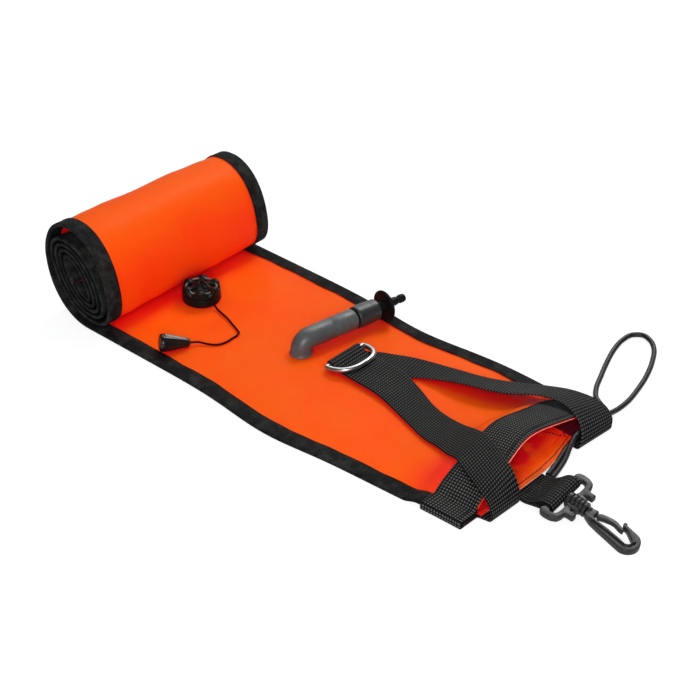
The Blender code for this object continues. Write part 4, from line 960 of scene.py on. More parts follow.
for i in range(9):
    angle = math.pi * (0.5 + i / 8)
    x = (RING_PLACE.x + BIGHT_RADIUS * math.cos(angle)) / MM
    z = (BAR_Z + BIGHT_RADIUS * math.sin(angle)) / MM
    strap_rows.append(held((x, STRAP_LOW_Y + i / 4, z), (x, STRAP_HIGH_Y + i / 4, z)))
strap_rows += [held(near, far) for near, far in (
    ((-3, -3.5, LEG), (-4, 27, LEG)), ((5, 2.5, LEG), (2, 31.5, LEG)),
    ((14, 9, LEG), (11, 36, LEG)), ((25, 16.5, LEG), (21, 41, LEG)),
    ((34, 21, LEG), (31, 44.5, LEG)), ((46, 25.8, LEG + 2.2), (42, 47, LEG + 0.3)),
    ((60, 29, LEG + 5.2), (56, 50, LEG + 0.9)), ((78, 31, LEG + 9.2), (72, 53, LEG + 1.8)),
    ((95, 32, LEG + 12.4), (87, 57, LEG + 3.2)), ((109, 36, LEG + 14.2), (101, 63, LEG + 4.6)),
    ((121, 45, LEG + 14.4), (115, 69.5, LEG + 5.6)), ((131, 50, LEG + 14.0), (128, 75, LEG + 6.2)),
    ((139, 51.2, LEG + 13.4), (139, 77.5, LEG + 6.2)), ((146, 50.5, LEG + 12.4), (148, 78.5, LEG + 5.6)),
    ((154, 48, 14.6), (155, 78, 9.0)), ((158.6, 45.5, 12.0), (160, 76, 7.6)),
    ((162, 42.5, 8.5), (163.6, 73.5, 6.0)), ((163.4, 40, 5.0), (165.6, 70.5, 4.2)),
    ((163.6, 38.5, 2.6), (166, 68.8, 2.4)), ((162.6, 38, LOW + 0.3), (164.4, 68, LOW + 0.3)),
    ((159, 38, LOW), (160, 68, LOW)), ((UNDER, 38, LOW), (UNDER, 68, LOW)))]
strap_webbing = webbing_finish("ribbed_strap_webbing", (0.0135, 0.0135, 0.0130), 2.3, 2.05)
strap = strip("harness_strap_webbing", smooth_rows(strap_rows, 5), WEBBING, strap_webbing)
fit(strap, "tube", "harness_strap")


# D-ring: polished chromed wire, bent to a bow with a straight bar, welded at one corner of the bar. It swings
# on the strap that is folded round its bar.
def tube(name, points, radius, finish, sides, loop=False, taper=0.0):
    """A round wire or cord along points, with UVs along it and round it."""
    rings = []
    side_way = None
    for i, point in enumerate(points):
        before, after = neighbours(points, i, loop)
        ahead = (after - before).normalized()
        if side_way is None:
            side_way = ahead.cross(UP if abs(ahead.z) < 0.9 else Vector((0, 1, 0)))
        side_way = (side_way - ahead * side_way.dot(ahead)).normalized()
        up = ahead.cross(side_way)
        size = radius * (1 - taper * (1 - smooth(min(i, len(points) - 1 - i) / 2)))
        angles = [math.tau * k / sides for k in range(sides)]
        rings.append([point + (side_way * math.cos(angle) + up * math.sin(angle)) * size for angle in angles])
    return skin(name, rings, finish, loop=loop, sharp=50)


chrome, shader, start = new_finish("polished_chrome", Base_Color=(0.5, 0.5, 0.5, 1), Metallic=1.0)
smudge = speckle(start, 5 * MM, 2.0)
scratches = speckle(start, 0.5 * MM, 3.0, 0.7)
feed(shader, scratches, 0.01 * MM, Roughness=0.26 + 0.16 * smudge,
     Base_Color=smudge.between((0.33, 0.33, 0.33, 1), (0.50, 0.50, 0.49, 1)))
RING_HALF = 18.1 * MM
RING_REACH = 17.4 * MM
SQUARENESS = 0.77
bow = []
for i in range(49):
    angle = math.pi * (i / 48 - 0.5)
    bow_x = max(0.0, math.cos(angle)) ** SQUARENESS * RING_REACH
    bow.append(Vector((bow_x, powered(math.sin(angle), SQUARENESS) * RING_HALF, 0)))
bow += [Vector((0, RING_HALF * (1 - 2 * i / 12), 0)) for i in range(1, 12)]
ring_turn = Matrix.Translation(RING_PLACE) @ Matrix.Rotation(math.radians(-8), 4, "Y")
d_ring = tube("d_ring_wire", [ring_turn @ point for point in bow], RING_WIRE / 2, chrome, 20, loop=True)
fit(d_ring, "ring", "d_ring")

# Hook tab: a short length of the same webbing from under the mouth, folded round the buckle's bar and sewn
# back on itself with a crossed box of stitches.
HOOK_TURN = math.radians(2.5)
HOOK_ROLL = math.radians(6)
BAR_CENTRE = Vector((191.6, -16.9, 10.8)) * MM
TAB_START = Vector((148, -9.5, 0)) * MM
tab_run = BAR_CENTRE - TAB_START
tab_run.z = 0
tab_length = tab_run.length
tab_along = tab_run.normalized()
bar_along = Vector((math.cos(HOOK_TURN), math.sin(HOOK_TURN), 0))
bar_across = Vector((-math.sin(HOOK_TURN), math.cos(HOOK_TURN), 0))
TAB_LOOP = 2.2 * MM + GAP + HALF_WEB


def tab_row(along, z, roll_share=1.0, past_bar=0.0):
    """One line across the tab, tipped like the buckle's bar as far as roll_share says."""
    centre = TAB_START + tab_along * along + bar_along * past_bar
    centre.z = z
    reach = (bar_across + Vector((0, 0, math.tan(HOOK_ROLL) * roll_share))) * STRAP_HALF * MM
    return [centre + reach * (i / 4 - 1) for i in range(9)]


lower_z = BAR_CENTRE.z - TAB_LOOP
upper_z = BAR_CENTRE.z + TAB_LOOP
tab_rows = [tab_row(0, HALF_WEB, 0), tab_row(17 * MM, HALF_WEB, 0),
            tab_row(22 * MM, HALF_WEB + 0.2 * MM, 0.1),
            tab_row(30 * MM, HALF_WEB + 0.45 * (lower_z - HALF_WEB), 0.5),
            tab_row(tab_length - 5 * MM, lower_z - 0.6 * MM, 0.9)]
for i in range(9):
    angle = math.pi * (i / 8 - 0.5)
    past_bar = TAB_LOOP * math.cos(angle)
    tab_rows.append(tab_row(tab_length, BAR_CENTRE.z + TAB_LOOP * math.sin(angle), 1, past_bar))
upper_layer = HALF_WEB + WEBBING + GAP
tab_rows += [tab_row(tab_length - 4 * MM, upper_z - 0.7 * MM, 0.9),
             tab_row(30 * MM, upper_layer + 0.45 * (lower_z - HALF_WEB) + 0.6 * MM, 0.5),
             tab_row(24 * MM, upper_layer + 0.6 * MM, 0.2), tab_row(19 * MM, upper_layer + 0.15 * MM, 0)]
tab_webbing = webbing_finish("ribbed_tab_webbing", (0.013, 0.0135, 0.013), 1.6, 2.3)
tab_lines = smooth_rows(tab_rows, 4)
hook_tab = strip("hook_tab_webbing", tab_lines, WEBBING, tab_webbing)
fit(hook_tab, "tube", "hook_tab")
box_rows = tab_lines[-1:-12:-1]


def on_tab(row, column):
    """A point on the tab's upper face, with the direction off it."""
    i = min(int(row), len(box_rows) - 2)
    j = min(int(column), 7)
    first = box_rows[i][j].lerp(box_rows[i][j + 1], column - j)
    second = box_rows[i + 1][j].lerp(box_rows[i + 1][j + 1], column - j)
    up = (box_rows[i][j + 1] - box_rows[i][j]).cross(box_rows[i + 1][j] - box_rows[i][j]).normalized()
    if up.z < 0:
        up = -up
    return first.lerp(second, row - i) + up * HALF_WEB, up


box_corners = ((1, 0.9), (1, 7.1), (9.6, 7.1), (9.6, 0.9), (1, 0.9), (9.6, 7.1), (9.6, 0.9), (1, 7.1))
runs = []
for (r0, c0), (r1, c1) in zip(box_corners, box_corners[1:]):
    runs.append([on_tab(r0 + (r1 - r0) * i / 16, c0 + (c1 - c0) * i / 16) for i in range(17)])
stitches("tab_box_sewing", runs, 1.9 * MM, 0.34 * MM, thread_finish)


# Swivel buckle: moulded nylon, a slotted frame on the tab with two guard prongs, and a ribbed barrel in which
# the hook's shank turns.
def rounded(points, radius, steps=4, closed=True):
    """A 2D outline with its corners rounded off, as far as the sides beside them allow."""
    line = []
    count = len(points)
    for i, point in enumerate(points):
        corner = Vector(point)
        if not closed and i in (0, count - 1):
            line.append(corner)
            continue
        before = Vector(points[i - 1])
        after = Vector(points[(i + 1) % count])
        back = min(radius, 0.45 * (before - corner).length)
        on = min(radius, 0.45 * (after - corner).length)
        first = corner + (before - corner).normalized() * back
        second = corner + (after - corner).normalized() * on
        for step in range(steps + 1):
            t = step / steps
            line.append(first * (1 - t) ** 2 + corner * 2 * t * (1 - t) + second * t * t)
    return line


def evaluated_mesh(item):
    """A new mesh of the item as its curve or its modifiers make it."""
    view = bpy.context.evaluated_depsgraph_get()
    view.update()
    return bpy.data.meshes.new_from_object(item.evaluated_get(view))


def plate(name, outlines, thickness, edge, finish, place):
    """A flat moulding of these outlines in millimetres, holes included, with rounded edges."""
    data = bpy.data.curves.new(name + "_outline", "CURVE")
    data.dimensions = "2D"
    data.fill_mode = "BOTH"
    data.extrude = thickness / 2 - edge
    data.bevel_depth = edge
    data.bevel_resolution = 3
    data.offset = -edge
    for outline in outlines:
        spline = data.splines.new("POLY")
        spline.points.add(len(outline) - 1)
        for point, corner in zip(spline.points, outline):
            point.co = (*(corner * MM), 0, 1)
        spline.use_cyclic_u = True
    drawn = placed(name + "_outline", data)
    shape = evaluated_mesh(drawn)
    bm = bmesh.new()
    bm.from_mesh(shape)
    bpy.data.objects.remove(drawn)
    bpy.data.meshes.remove(shape)
    bmesh.ops.remove_doubles(bm, verts=bm.verts, dist=0.00001)
    bmesh.ops.recalc_face_normals(bm, faces=bm.faces)
    bm.transform(place)
    return piece(name, bm, finish, 35)


def turned(name, profile, place, finish, steps, corner, bent=None):
    """A piece turned about its own Z from (radius, height) in millimetres, which bent() may change."""
    solid_middle = profile[0][0] == 0
    line = rounded([(r * MM, z * MM) for r, z in profile], corner, closed=not solid_middle)
    rows = []
    for i in range(steps):
        angle = math.tau * i / steps
        row = []
        for radius, height in line:
            r, z = bent(radius, height, angle) if bent else (radius, height)
            row.append(place @ Vector((r * math.cos(angle), r * math.sin(angle), z)))
        rows.append(row)
    return skin(name, rows, finish, ring=not solid_middle, loop=True, sharp=35)


def plastic(name, colour, roughness, grain=0.5, coat=0.0, gleam=0.4):
    """Moulded plastic: a faint grain, duller scuffs, paler edges that are partly wear from rubbing and partly
    painted highlight, and painted shade, near black, in narrow recesses.
    """
    made, shader, start = new_finish(name, Specular_IOR_Level=gleam, Coat_Roughness=0.1, Coat_Weight=coat)
    fine = speckle(start, 0.5 * MM, 2.0)
    scuff = speckle(start, 6 * MM, 3.0, 0.6).step(0.45, 0.75)
    # Paler edges: partly wear from rubbing, partly painted highlight.
    edge = start.node("NewGeometry", output=7).step(0.52, 0.60)
    # Painted shade: near black where another surface stands within 2 mm.
    free_of_painted_shade = openness(start, 2 * MM, 4).step(0.35, 0.85)
    rubbed_and_highlit = tuple(min(1.0, value * 2.2 + 0.015) for value in colour)
    base = free_of_painted_shade.between((0.002, 0.002, 0.002, 1), scuff.between((*colour, 1), toned(colour, 1.25)))
    feed(shader, fine, 0.02 * MM * grain, Base_Color=(edge * 0.6).between(base, (*rubbed_and_highlit, 1)),
         Roughness=roughness + 0.10 * scuff + 0.05 * fine)
    return made


grey_nylon = plastic("dark_grey_nylon", (0.0150, 0.0150, 0.0155), 0.36, gleam=0.2)
hook_frame = (Matrix.Translation(BAR_CENTRE) @ Matrix.Rotation(HOOK_TURN, 4, "Z")
              @ Matrix.Rotation(math.radians(8.5), 4, "Y") @ Matrix.Rotation(HOOK_ROLL, 4, "X"))
ALONG_X = Matrix.Rotation(math.pi / 2, 4, "Y")
half_frame = [(-1.9, 0), (-1.9, 15.6), (-3.2, 16.4), (-3.4, 18.6), (-1.6, 20.8), (1.6, 21.3), (6, 20.8),
              (9.6, 18.8), (10.8, 15.4), (10.8, 12.4), (16.6, 12.4), (16.6, 8.2), (11.4, 8.2), (11.4, 0)]
frame_outline = half_frame + [(x, -y) for x, y in half_frame[-2:0:-1]]
slot_outline = [(1.9, 15.8), (1.9, -15.8), (3.4, -16.8), (6.4, -15.6), (7.2, -12), (7.2, 12), (6.4, 15.6),
                (3.4, 16.8)]
outlines = [rounded(line, 1.2) for line in (frame_outline, slot_outline)]
frame_plate = plate("buckle_frame", outlines, 4.2 * MM, 0.9 * MM, grey_nylon, hook_frame)
BARREL_X = 7.5
BARREL_LENGTH = 11
rib_profile = [(0, BARREL_LENGTH), (2.6, BARREL_LENGTH), (3.5, BARREL_LENGTH - 0.1)]
for i in range(4):
    start_z = BARREL_LENGTH - 2.75 * i
    reach = 4.75 + 0.2 * i
    rib_profile += [(reach - 0.7, start_z - 0.1), (reach - 0.3, start_z - 0.2), (reach, start_z - 0.6),
                    (reach, start_z - 1.9), (reach - 0.3, start_z - 2.3), (reach - 0.7, start_z - 2.4),
                    (reach - 0.7, start_z - 2.7)]
rib_profile += [(4.3, -0.2), (5.2, -0.5), (5.2, -2.5), (4.6, -3.1), (0, -3.1)]
barrel_place = hook_frame @ Matrix.Translation((BARREL_X * MM, 0, 0)) @ ALONG_X
barrel = turned("buckle_barrel", rib_profile, barrel_place, grey_nylon, 48, 0.25 * MM)
saddle_line = [(6.8, 5.6), (7.2, 6.6), (11.6, 6.6), (15.2, 5.4), (15.2, -5.4), (11.6, -6.6), (7.2, -6.6),
               (6.8, -5.6)]
saddle = plate("buckle_saddle", [rounded(saddle_line, 0.8)], 5.2 * MM, 0.8 * MM, grey_nylon, hook_frame)
for made in (frame_plate, barrel, saddle):
    fit(made, "buckle", "swivel_buckle")

# Swivel hook: one nylon moulding, a shank with a head inside the barrel, and a long narrow hook with a groove
# along each face, which leaves a raised rim beside its eye.
NECK = 1.6
HOOK_LENGTH = 38.5
BEND_RADIUS = 8.2
HOOK_START = BARREL_X + BARREL_LENGTH + 0.6 + NECK
BEND_X = HOOK_START + HOOK_LENGTH - BEND_RADIUS
BEND_Y = -1.9
NOSE_Y = 4.8
SHOULDER_END = HOOK_START + 4.4
hook_set = (Matrix.Translation((HOOK_START * MM, 0, 0)) @ Matrix.Rotation(math.radians(-5), 4, "Z")
            @ Matrix.Translation((-HOOK_START * MM, 0, 0)))
hook_place = hook_frame @ hook_set


def bend(radius, first, last, count):
    """Points round the hook's bend."""
    angles = [math.radians(first + (last - first) * i / count) for i in range(count + 1)]
    return [(BEND_X + radius * math.cos(angle), BEND_Y + radius * math.sin(angle)) for angle in angles]


def carve(item, cutter):
    """Cut one piece out of another."""
    cut = item.modifiers.new("cut", "BOOLEAN")
    cut.operation = "DIFFERENCE"
    cut.solver = "EXACT"
    cut.object = cutter
    mesh = evaluated_mesh(item)
    mesh.name = item.name
    item.modifiers.clear()
    item.data = mesh
    bpy.data.objects.remove(cutter)


outer = [(HOOK_START - NECK, -4.0), (HOOK_START, -5.0), (HOOK_START + 4.7, -6.9), (HOOK_START + 12, -8.0)]
nose = [(BEND_X - 2.4, 6.6), (BEND_X - 5.6, 7.0), (BEND_X - 7.4, 7.2), (BEND_X - 8.0, 8.3),
        (BEND_X - 9.5, 8.6), (BEND_X - 10.2, 7.6), (BEND_X - 9.9, 6.2), (BEND_X - 8.8, NOSE_Y),
        (BEND_X - 5.6, NOSE_Y - 0.4)]
back = [(BEND_X - 4, -3.9), (BEND_X - 14, -3.0), (HOOK_START + 5, -2.8), (SHOULDER_END, -1.8),
        (SHOULDER_END, 3.4), (HOOK_START + 2, 3.0), (HOOK_START - NECK, 1.9)]
hook_outline = rounded(outer + bend(BEND_RADIUS, -98, 90, 24) + nose + bend(2.7, 65, -90, 14) + back, 0.9, 3)
hook_body = plate("hook_body", [hook_outline], 4.6 * MM, 0.7 * MM, grey_nylon, Matrix())
groove = [(HOOK_START + 3.0, -5.0), (HOOK_START + 8, -5.5), (HOOK_START + 18, -5.7), (BEND_X - 4, -6.2)]
groove += bend(4.5, -84, 32, 12)
groove_line = smooth_line([Vector((x * MM, y * MM, 0)) for x, y in groove], 3)
for face in (-1, 1):
    raised = [point + Vector((0, 0, face * 2.1 * MM)) for point in groove_line]
    carve(hook_body, tube("groove_cutter", raised, 1.15 * MM, grey_nylon, 16, taper=0.7))
hook_body.data.transform(hook_place)
shade(hook_body.data, 35)
shank_profile = [(0, 11), (2.4, 11), (3.3, 10.2), (3.3, 9.4), (2.9, 8.5), (1.9, 8.3), (1.9, 2), (2.7, 2),
                 (2.7, 0), (0, 0)]
shank_place = hook_frame @ Matrix.Translation((10.5 * MM, 0, 0)) @ ALONG_X
shank = turned("hook_shank", shank_profile, shank_place, grey_nylon, 40, 0.2 * MM)
for made in (hook_body, shank):
    fit(made, "hook", "swivel_hook")

# Hook gate: a thin springy arm on a knuckle at the shoulder, bowed outwards, that shuts against the nose from
# inside and is pushed in with a thumb.
pin_x = SHOULDER_END + 2.0
gate_end = BEND_X - 6.6
gate_top = NOSE_Y - 0.7
gate_line = [(gate_end, 1.4), (gate_end, gate_top - 1.0), (gate_end - 1.2, gate_top - 0.1),
             (gate_end - 3.6, gate_top + 0.5), (BEND_X - 13, gate_top + 1.4), (BEND_X - 16.5, gate_top + 1.4),
             (pin_x + 3.5, gate_top + 0.6), (pin_x + 0.5, gate_top - 0.4)]
for i in range(8):
    angle = math.pi * (0.75 + i / 8)
    gate_line.append((pin_x + 1.8 * math.cos(angle), 1.2 + 1.8 * math.sin(angle)))
gate_line += [(pin_x + 3.0, 0.7), (BEND_X - 16, 2.4), (BEND_X - 13, 2.5), (gate_end - 3.4, 1.6)]
gate = plate("hook_gate_arm", [rounded(gate_line, 1.0)], 3.4 * MM, 0.6 * MM, grey_nylon, hook_place)
fit(gate, "gate", "hook_gate")


# Elastic loop: one length of round shock cord in a smooth braided cover. Both ends are sewn under the tab,
# and it runs through the strap's far fold and out to one side.
def braided(name, colour, gleam):
    """A round cover of fine crossed strands."""
    made, shader, start = new_finish(name, Specular_IOR_Level=gleam)
    along, across = uv_sides(start)
    strands = ((along + across) * (math.pi / 0.8)).math("SINE")
    strands = strands * ((along - across) * (math.pi / 0.8)).math("SINE")
    worn = speckle(start, 8 * MM)
    feed(shader, strands * 0.5 + 0.5, 0.06 * MM, Roughness=0.36 + 0.15 * worn,
         Base_Color=(strands * 0.35 + 0.4 + 0.3 * worn).between((0.001, 0.001, 0.001, 1), (*colour, 1)))
    return made


LOOP_POINTS = (
    (166.3, 2.8, 1.9), (164.0, 12, 1.9), (161.2, 22, 2.2), (158.6, 32, 2.8), (157.4, 40, 3.3),
    (157.9, 50, 3.4), (157.9, 60, 3.4), (156.4, 70, 3.0), (153.6, 78.4, 2.2), (147.6, 84.6, 1.9),
    (138.6, 90.4, 1.9), (132.4, 99, 1.9), (127, 111, 1.9), (119.4, 129, 1.9), (113.6, 146, 1.9),
    (111.6, 157, 1.9), (112.8, 167, 1.9), (118.6, 171.6, 1.9), (126, 169.6, 1.9), (134, 162.6, 1.9),
    (141, 151, 1.9), (148, 135, 1.9), (153.5, 116.5, 1.9), (156.8, 100, 1.9), (157.2, 90, 2.0),
    (157.2, 80, 3.5), (157.0, 70, 6.3), (157.2, 60, 7.3), (158.0, 50, 7.4), (158.8, 40, 7.2),
    (161.2, 32, 5.6), (165.0, 22, 3.0), (167.7, 12, 1.9), (169.9, 2.4, 1.9))
braid = braided("braided_cord_cover", (0.011, 0.011, 0.0105), 0.25)
loop_line = smooth_line([Vector(point) * MM for point in LOOP_POINTS], 5)
loop = tube("elastic_loop", loop_line, 1.8 * MM, braid, 18)
fit(loop, "tube", "bungee_loop")

# Dump valve: a moulded body on the front panel with a threaded cap. Six windows between the cap's raised
# petals let the air out when the cord lifts the sprung disc inside.
VALVE_X = -137 * MM
VALVE_Y = -1 * MM
black_nylon = plastic("black_moulded_nylon", (0.003, 0.0045, 0.0035), 0.38, gleam=0.14)
valve_at = Matrix.Translation((VALVE_X, VALVE_Y, 0))
body_low, body_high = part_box("dump_valve_body")
foot = body_low.z / MM
rim = body_high.z / MM
cap_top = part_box("dump_valve_cap")[1].z / MM
body_profile = [(13.3, rim), (13.5, rim - 0.3), (13.5, rim - 2.4), (13.6, foot + 0.8), (13.2, foot),
                (9.3, foot), (9.3, foot + 2.4), (5.5, foot + 2.4), (5.5, foot + 3.6), (10.8, foot + 3.6),
                (10.8, rim)]
valve_body = turned("valve_body", body_profile, valve_at, black_nylon, 96, 0.35 * MM)
PETALS = 6
CAP_TURN = 0.7 * math.tau / PETALS


def petals(radius, height, angle):
    """The cap's rim rises in six rounded lobes, with a window's low sill between each two of them."""
    swell = abs(math.sin(PETALS / 2 * (angle - CAP_TURN))) ** 1.2
    outside = smooth((radius / MM - 7) / 4)
    top = smooth((height / MM - rim - 1.5) / 2.5)
    between = 1 - swell
    rise = (1.6 * swell - 1.7 * between) * MM
    return radius * (1 - 0.05 * between * outside * top), height + rise * outside * top


cap_foot = rim + 0.3
under_top = cap_top - 2.7
cap_profile = [(1.0, cap_top + 0.6), (1.4, cap_top + 1.0), (2.8, cap_top + 0.9), (3.6, cap_top + 0.2),
               (4.4, cap_top - 0.5), (6.2, cap_top - 0.9), (8.0, cap_top - 1.2), (9.8, cap_top - 1.5),
               (11.4, cap_top - 1.6), (12.7, cap_top - 2.0), (13.4, cap_top - 3.0), (13.5, cap_foot + 1.5),
               (13.4, cap_foot), (10.4, cap_foot), (10.4, cap_foot - 1.4), (9.2, cap_foot - 1.4),
               (9.2, under_top - 0.8), (6.6, under_top), (3.0, under_top + 0.4), (1.0, under_top + 0.4)]
valve_cap = turned("valve_cap", cap_profile, valve_at, black_nylon, 120, 0.5 * MM, petals)
fit(valve_body, "tube", "dump_valve_body")
# The window sills get a pale grey plastic as painted highlight; the cap itself is black.
sill_highlight_grey = plastic("sill_painted_highlight_plastic", (0.075, 0.08, 0.075), 0.35, gleam=0.5)
window_line = rounded([(4.2, -0.4), (9.6, -3.2), (10.6, 0), (9.6, 3.2), (4.2, 0.4)], 0.5)
sill_line = [(9.7, -3.2), (10.5, -1.7), (10.8, 0), (10.5, 1.7), (9.7, 3.2)]
for i in range(PETALS):
    window_turn = valve_at @ Matrix.Rotation(CAP_TURN + math.tau * i / PETALS, 4, "Z")
    bm = bmesh.new()
    low = [bm.verts.new((x * MM, y * MM, 0)) for x, y in window_line]
    high = [bm.verts.new((x * MM * 1.06, y * MM * 1.12, 6 * MM)) for x, y in window_line]
    bm.faces.new(low[::-1])
    bm.faces.new(high)
    for j in range(len(low)):
        k = (j + 1) % len(low)
        bm.faces.new((low[j], low[k], high[k], high[j]))
    bm.transform(window_turn @ Matrix.Translation((0, 0, (cap_top - 4) * MM)))
    carve(valve_cap, piece("window_cutter", bm, black_nylon))
    sill = [window_turn @ (Vector((x, y, cap_top - 2.55 + 0.05 * y * y)) * MM) for x, y in sill_line]
    made = tube("valve_cap_sill_%d" % (i + 1), smooth_line(sill, 4), 0.75 * MM, sill_highlight_grey, 10)
    fit(made, "tube", "dump_valve_cap")
shade(valve_cap.data, 35)
fit(valve_cap, "tube", "dump_valve_cap")

# Pull cord and toggle: thin braided cord from the valve's disc, out through the middle of the cap, and a
# glossy fluted toggle moulded on its end.
STEM_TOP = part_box("dump_valve_disc")[1].z / MM
CORD_POINTS = (
    (0, 0, STEM_TOP + 0.3), (0, 0, cap_top + 0.8), (1.2, -0.2, cap_top + 2.0), (5, -1, cap_top + 1.8),
    (10, -1.9, cap_top + 0.6), (13.6, -2.6, cap_top - 1.6), (15.2, -3.0, cap_top - 5.0), (16.6, -3.5, 7.0),
    (19.5, -4.0, 5.4), (24, -4.8, 4.9), (32, -6.9, 4.9), (40, -9.9, 4.9), (48, -12.9, 4.9),
    (51.4, -14.7, 4.9), (52.7, -17.6, 4.9), (52.8, -22.7, 4.8), (53, -28.2, 4.8), (51.8, -32.8, 4.7),
    (49.2, -36.1, 4.7), (44.7, -38.9, 4.8), (40.2, -41.6, 5.5), (37.0, -46.8, 6.4))
cord_line = smooth_line([Vector(point) * MM + Vector((VALVE_X, VALVE_Y, 0)) for point in CORD_POINTS], 5)
# The dark red in the cord's colour is painted reflection of the orange cloth.
thin_braid = braided("thin_cord_cover", (0.022, 0.003, 0.002), 0.03)
pull_cord = tube("pull_cord_line", cord_line, 0.7 * MM, thin_braid, 12)
fit(pull_cord, "dump_disc", "pull_cord")
gloss = plastic("glossy_black_plastic", (0.004, 0.0045, 0.0045), 0.26, 0.1, 0.15, 0.3)


def flutes(radius, height, angle):
    """Six flutes that run out before either end."""
    length = height / (21 * MM)
    share = smooth(length / 0.2) * smooth((0.93 - length) / 0.12)
    if radius < 2 * MM:
        share = 0.0
    return radius * (1 - 0.20 * share * (0.5 + 0.5 * math.cos(6 * angle)) ** 1.5), height


toggle_profile = [(0, 21.3), (3.6, 21.3), (4.9, 21.2), (6.0, 20.6), (6.3, 19.4), (6.2, 17.6), (5.6, 14.0),
                  (4.9, 10.5), (4.2, 7.4), (3.6, 4.4), (3.2, 2.0), (2.8, 0.7), (2.0, 0.3), (0, 0.3)]
toggle_way = Vector((-0.54, -0.84, 0.16)).normalized()
toggle_turn = UP.rotation_difference(toggle_way).to_matrix().to_4x4()
toggle_place = Matrix.Translation(cord_line[-1]) @ toggle_turn
toggle = turned("toggle", toggle_profile, toggle_place, gloss, 96, 0.8 * MM, flutes)
fit(toggle, "dump_disc", "pull_toggle")

# Oral inflator: a smooth grey elbow that stands on the front panel, with a dark collar screwed into it. The
# thumb disc and nipple are one push stem that slides in the collar against a spring.
elbow_grey = plastic("grey_elbow_plastic", (0.052, 0.057, 0.057), 0.40)
inflator_turn = math.radians(80)
AXIS_Z = STACK + 0.4 * MM + 11 * MM
inflator_frame = Matrix.Translation((-37.9 * MM, -4.1 * MM, AXIS_Z)) @ Matrix.Rotation(inflator_turn, 4, "Z")
elbow_foot = (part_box("inflator_elbow")[0].z - AXIS_Z) / MM


def elbow_ring(centre, outward, radius, sides=48):
    """One ring of the elbow's tube, in millimetres in the inflator's own frame."""
    ring = []
    for k in range(sides):
        angle = math.tau * k / sides
        point = centre + (outward * math.cos(angle) + Vector((0, math.sin(angle), 0))) * radius
        ring.append(inflator_frame @ (point * MM))
    return ring


OUTSIDE = 7.2
BORE = 5.0
ELBOW_END = 44.1
outer_rings = []
inner_rings = [elbow_ring(Vector((0, 0, elbow_foot)), Vector((1, 0, 0)), BORE)]
for z, radius in ((0.0, 7.7), (0.25, 7.95), (0.9, 7.9), (1.5, 7.45), (2.2, OUTSIDE)):
    outer_rings.append(elbow_ring(Vector((0, 0, elbow_foot + z)), Vector((1, 0, 0)), radius))
for i in range(1, 15):
    angle = math.pi / 2 * i / 14
    centre = Vector((7.5 * (1 - math.cos(angle)), 0, 7.5 * (math.sin(angle) - 1)))
    outward = Vector((math.cos(angle), 0, -math.sin(angle)))
    outer_rings.append(elbow_ring(centre, outward, OUTSIDE))
    inner_rings.append(elbow_ring(centre, outward, BORE))
for x, radius in ((12, OUTSIDE), (24.4, OUTSIDE), (24.6, 7.06), (24.9, 7.06), (25.1, OUTSIDE),
                  (33.6, OUTSIDE), (33.8, 7.36), (35.2, 7.36), (35.4, OUTSIDE),
                  (ELBOW_END - 0.5, OUTSIDE), (ELBOW_END, 6.9)):
    outer_rings.append(elbow_ring(Vector((x, 0, 0)), -UP, radius))
inner_rings.append(elbow_ring(Vector((ELBOW_END, 0, 0)), -UP, BORE))
elbow = skin("inflator_elbow_tube", outer_rings + inner_rings[::-1], elbow_grey, loop=True, sharp=35)
fit(elbow, "tube", "inflator_elbow")
collar_black = plastic("black_collar_plastic", (0.0165, 0.018, 0.018), 0.38)
stem_black = plastic("black_stem_plastic", (0.004, 0.0045, 0.0045), 0.45, gleam=0.08)
along_tube = inflator_frame @ ALONG_X
COLLAR_X = ELBOW_END + 1.7
COLLAR_END = COLLAR_X + 18.4
SLEEVE_END = COLLAR_X - 7
collar_profile = [(6.8, COLLAR_END), (7.5, COLLAR_END - 0.8), (7.8, COLLAR_X + 12),
                  (7.95, COLLAR_X + 1.6), (7.7, COLLAR_X + 0.5), (7.2, COLLAR_X), (4.7, COLLAR_X),
                  (4.7, SLEEVE_END), (2.6, SLEEVE_END), (2.6, COLLAR_X + 5), (4.4, COLLAR_X + 5),
                  (4.4, COLLAR_END)]
collar = turned("inflator_collar_sleeve", collar_profile, along_tube, collar_black, 64, 0.3 * MM)
fit(collar, "tube", "inflator_collar")
STEM_TRAVEL = 4
DISC_X = COLLAR_END + STEM_TRAVEL + 2.5
TIP_X = DISC_X + 18.3
step_x = COLLAR_X + 14
rod_end = SLEEVE_END - 3.1
stem_profile = [(0, TIP_X - 1.0), (1.4, TIP_X - 1.0), (1.4, TIP_X), (2.6, TIP_X), (3.0, TIP_X - 1.4),
                (3.0, TIP_X - 4.6), (2.5, TIP_X - 5.4), (2.5, TIP_X - 6.5), (3.0, TIP_X - 7.2),
                (3.2, DISC_X + 3.2), (4.2, DISC_X + 2.0), (8.6, DISC_X + 1.7), (9.2, DISC_X + 2.1),
                (10.6, DISC_X + 2.1), (11.0, DISC_X + 1.5), (11.0, DISC_X + 0.5), (10.5, DISC_X),
                (4.0, DISC_X), (4.0, step_x), (1.5, step_x), (1.5, rod_end), (0, rod_end)]
stem = turned("inflator_thumb_stem", stem_profile, along_tube, stem_black, 64, 0.35 * MM)
bm = bmesh.new()
bmesh.ops.create_cone(bm, cap_ends=True, segments=24, radius1=0.9 * MM, radius2=0.9 * MM, depth=20 * MM)
hole_turn = Matrix.Rotation(math.pi / 2, 4, "X")
bm.transform(inflator_frame @ Matrix.Translation(((TIP_X - 2.7) * MM, 0, 0)) @ hole_turn)
carve(stem, piece("cross_hole_cutter", bm, stem_black))
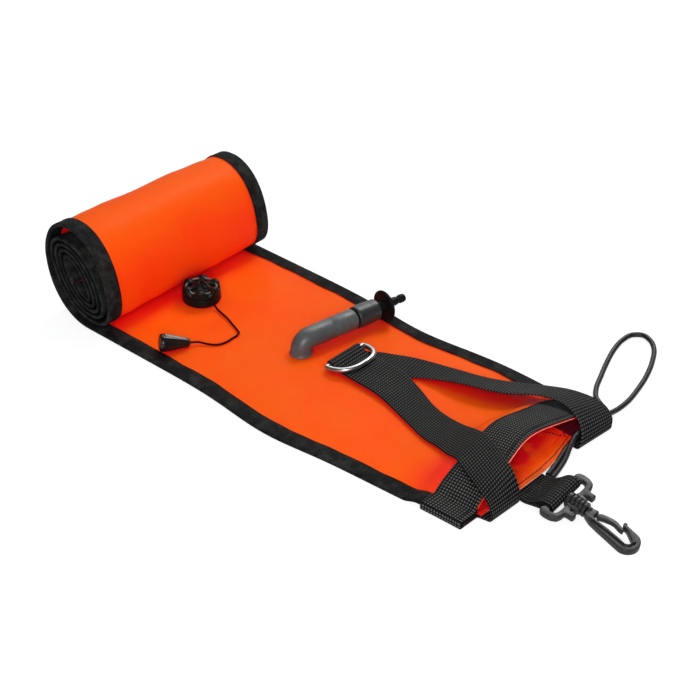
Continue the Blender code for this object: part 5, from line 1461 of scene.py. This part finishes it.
fit(stem, "push_stem", "inflator_push_stem")

# Inner parts that keep their solids: moulded flanges that clamp the cloth under each valve, the inflator's
# rubber ring and seal, and the rubber disc that shuts the dump valve.
rubber = grained("black_seal_rubber", (2 * MM, 2.0), 0.02 * MM, (0.012, 0.012, 0.012), (0.030, 0.030, 0.029),
                 0.6, 0.2, Specular_IOR_Level=0.3)
for node, finish in (("inflator_flange", black_nylon), ("dump_valve_flange", black_nylon),
                     ("inflator_o_ring", rubber), ("inflator_seal", rubber), ("dump_valve_disc", rubber)):
    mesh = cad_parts[node].data
    mesh.materials.clear()
    mesh.materials.append(finish)

# Springs: a coil of drawn wire round the inflator's stem and one above the valve's disc.
steel = grained("drawn_spring_steel", (0.6 * MM, 3.0, 0.7), 0.01 * MM, (0.48, 0.48, 0.47), (0.66, 0.66, 0.65),
                0.25, 0.15, Metallic=1.0)
COIL_STEPS = 16


def spring(node, axis, coil_radius, wire_radius, turns, fixed_side):
    """A coil that fills its solid's box along an axis. fixed_side only sets an anchor that nothing uses."""
    low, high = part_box(node)
    centre = (low + high) / 2
    way = Vector(axis).normalized()
    main = max(range(3), key=lambda i: abs(way[i]))
    tilt = math.sqrt(max(0.0, 1 - way[main] ** 2))
    length = ((high - low)[main] - 2 * (coil_radius + wire_radius) * tilt) / abs(way[main])
    turned_up = UP.rotation_difference(way).to_matrix()
    line = []
    for i in range(turns * COIL_STEPS + 1):
        angle = math.tau * i / COIL_STEPS
        height = (length - 2 * wire_radius) * (i / (turns * COIL_STEPS) - 0.5)
        across = Vector((coil_radius * math.cos(angle), coil_radius * math.sin(angle), height))
        line.append(centre + turned_up @ across)
    made = tube(node + "_coil", line, wire_radius, steel, 10)
    fit(made, "tube", node)
    anchor = centre + way * (fixed_side * length / 2)
    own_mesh(made)


spring("inflator_spring", (0.1736482, 0.9848077, 0), 3.2 * MM, 0.35 * MM, 5,
       -1)
spring("dump_valve_spring", (0, 0, 1), 4.4 * MM, 0.25 * MM, 3, 1)
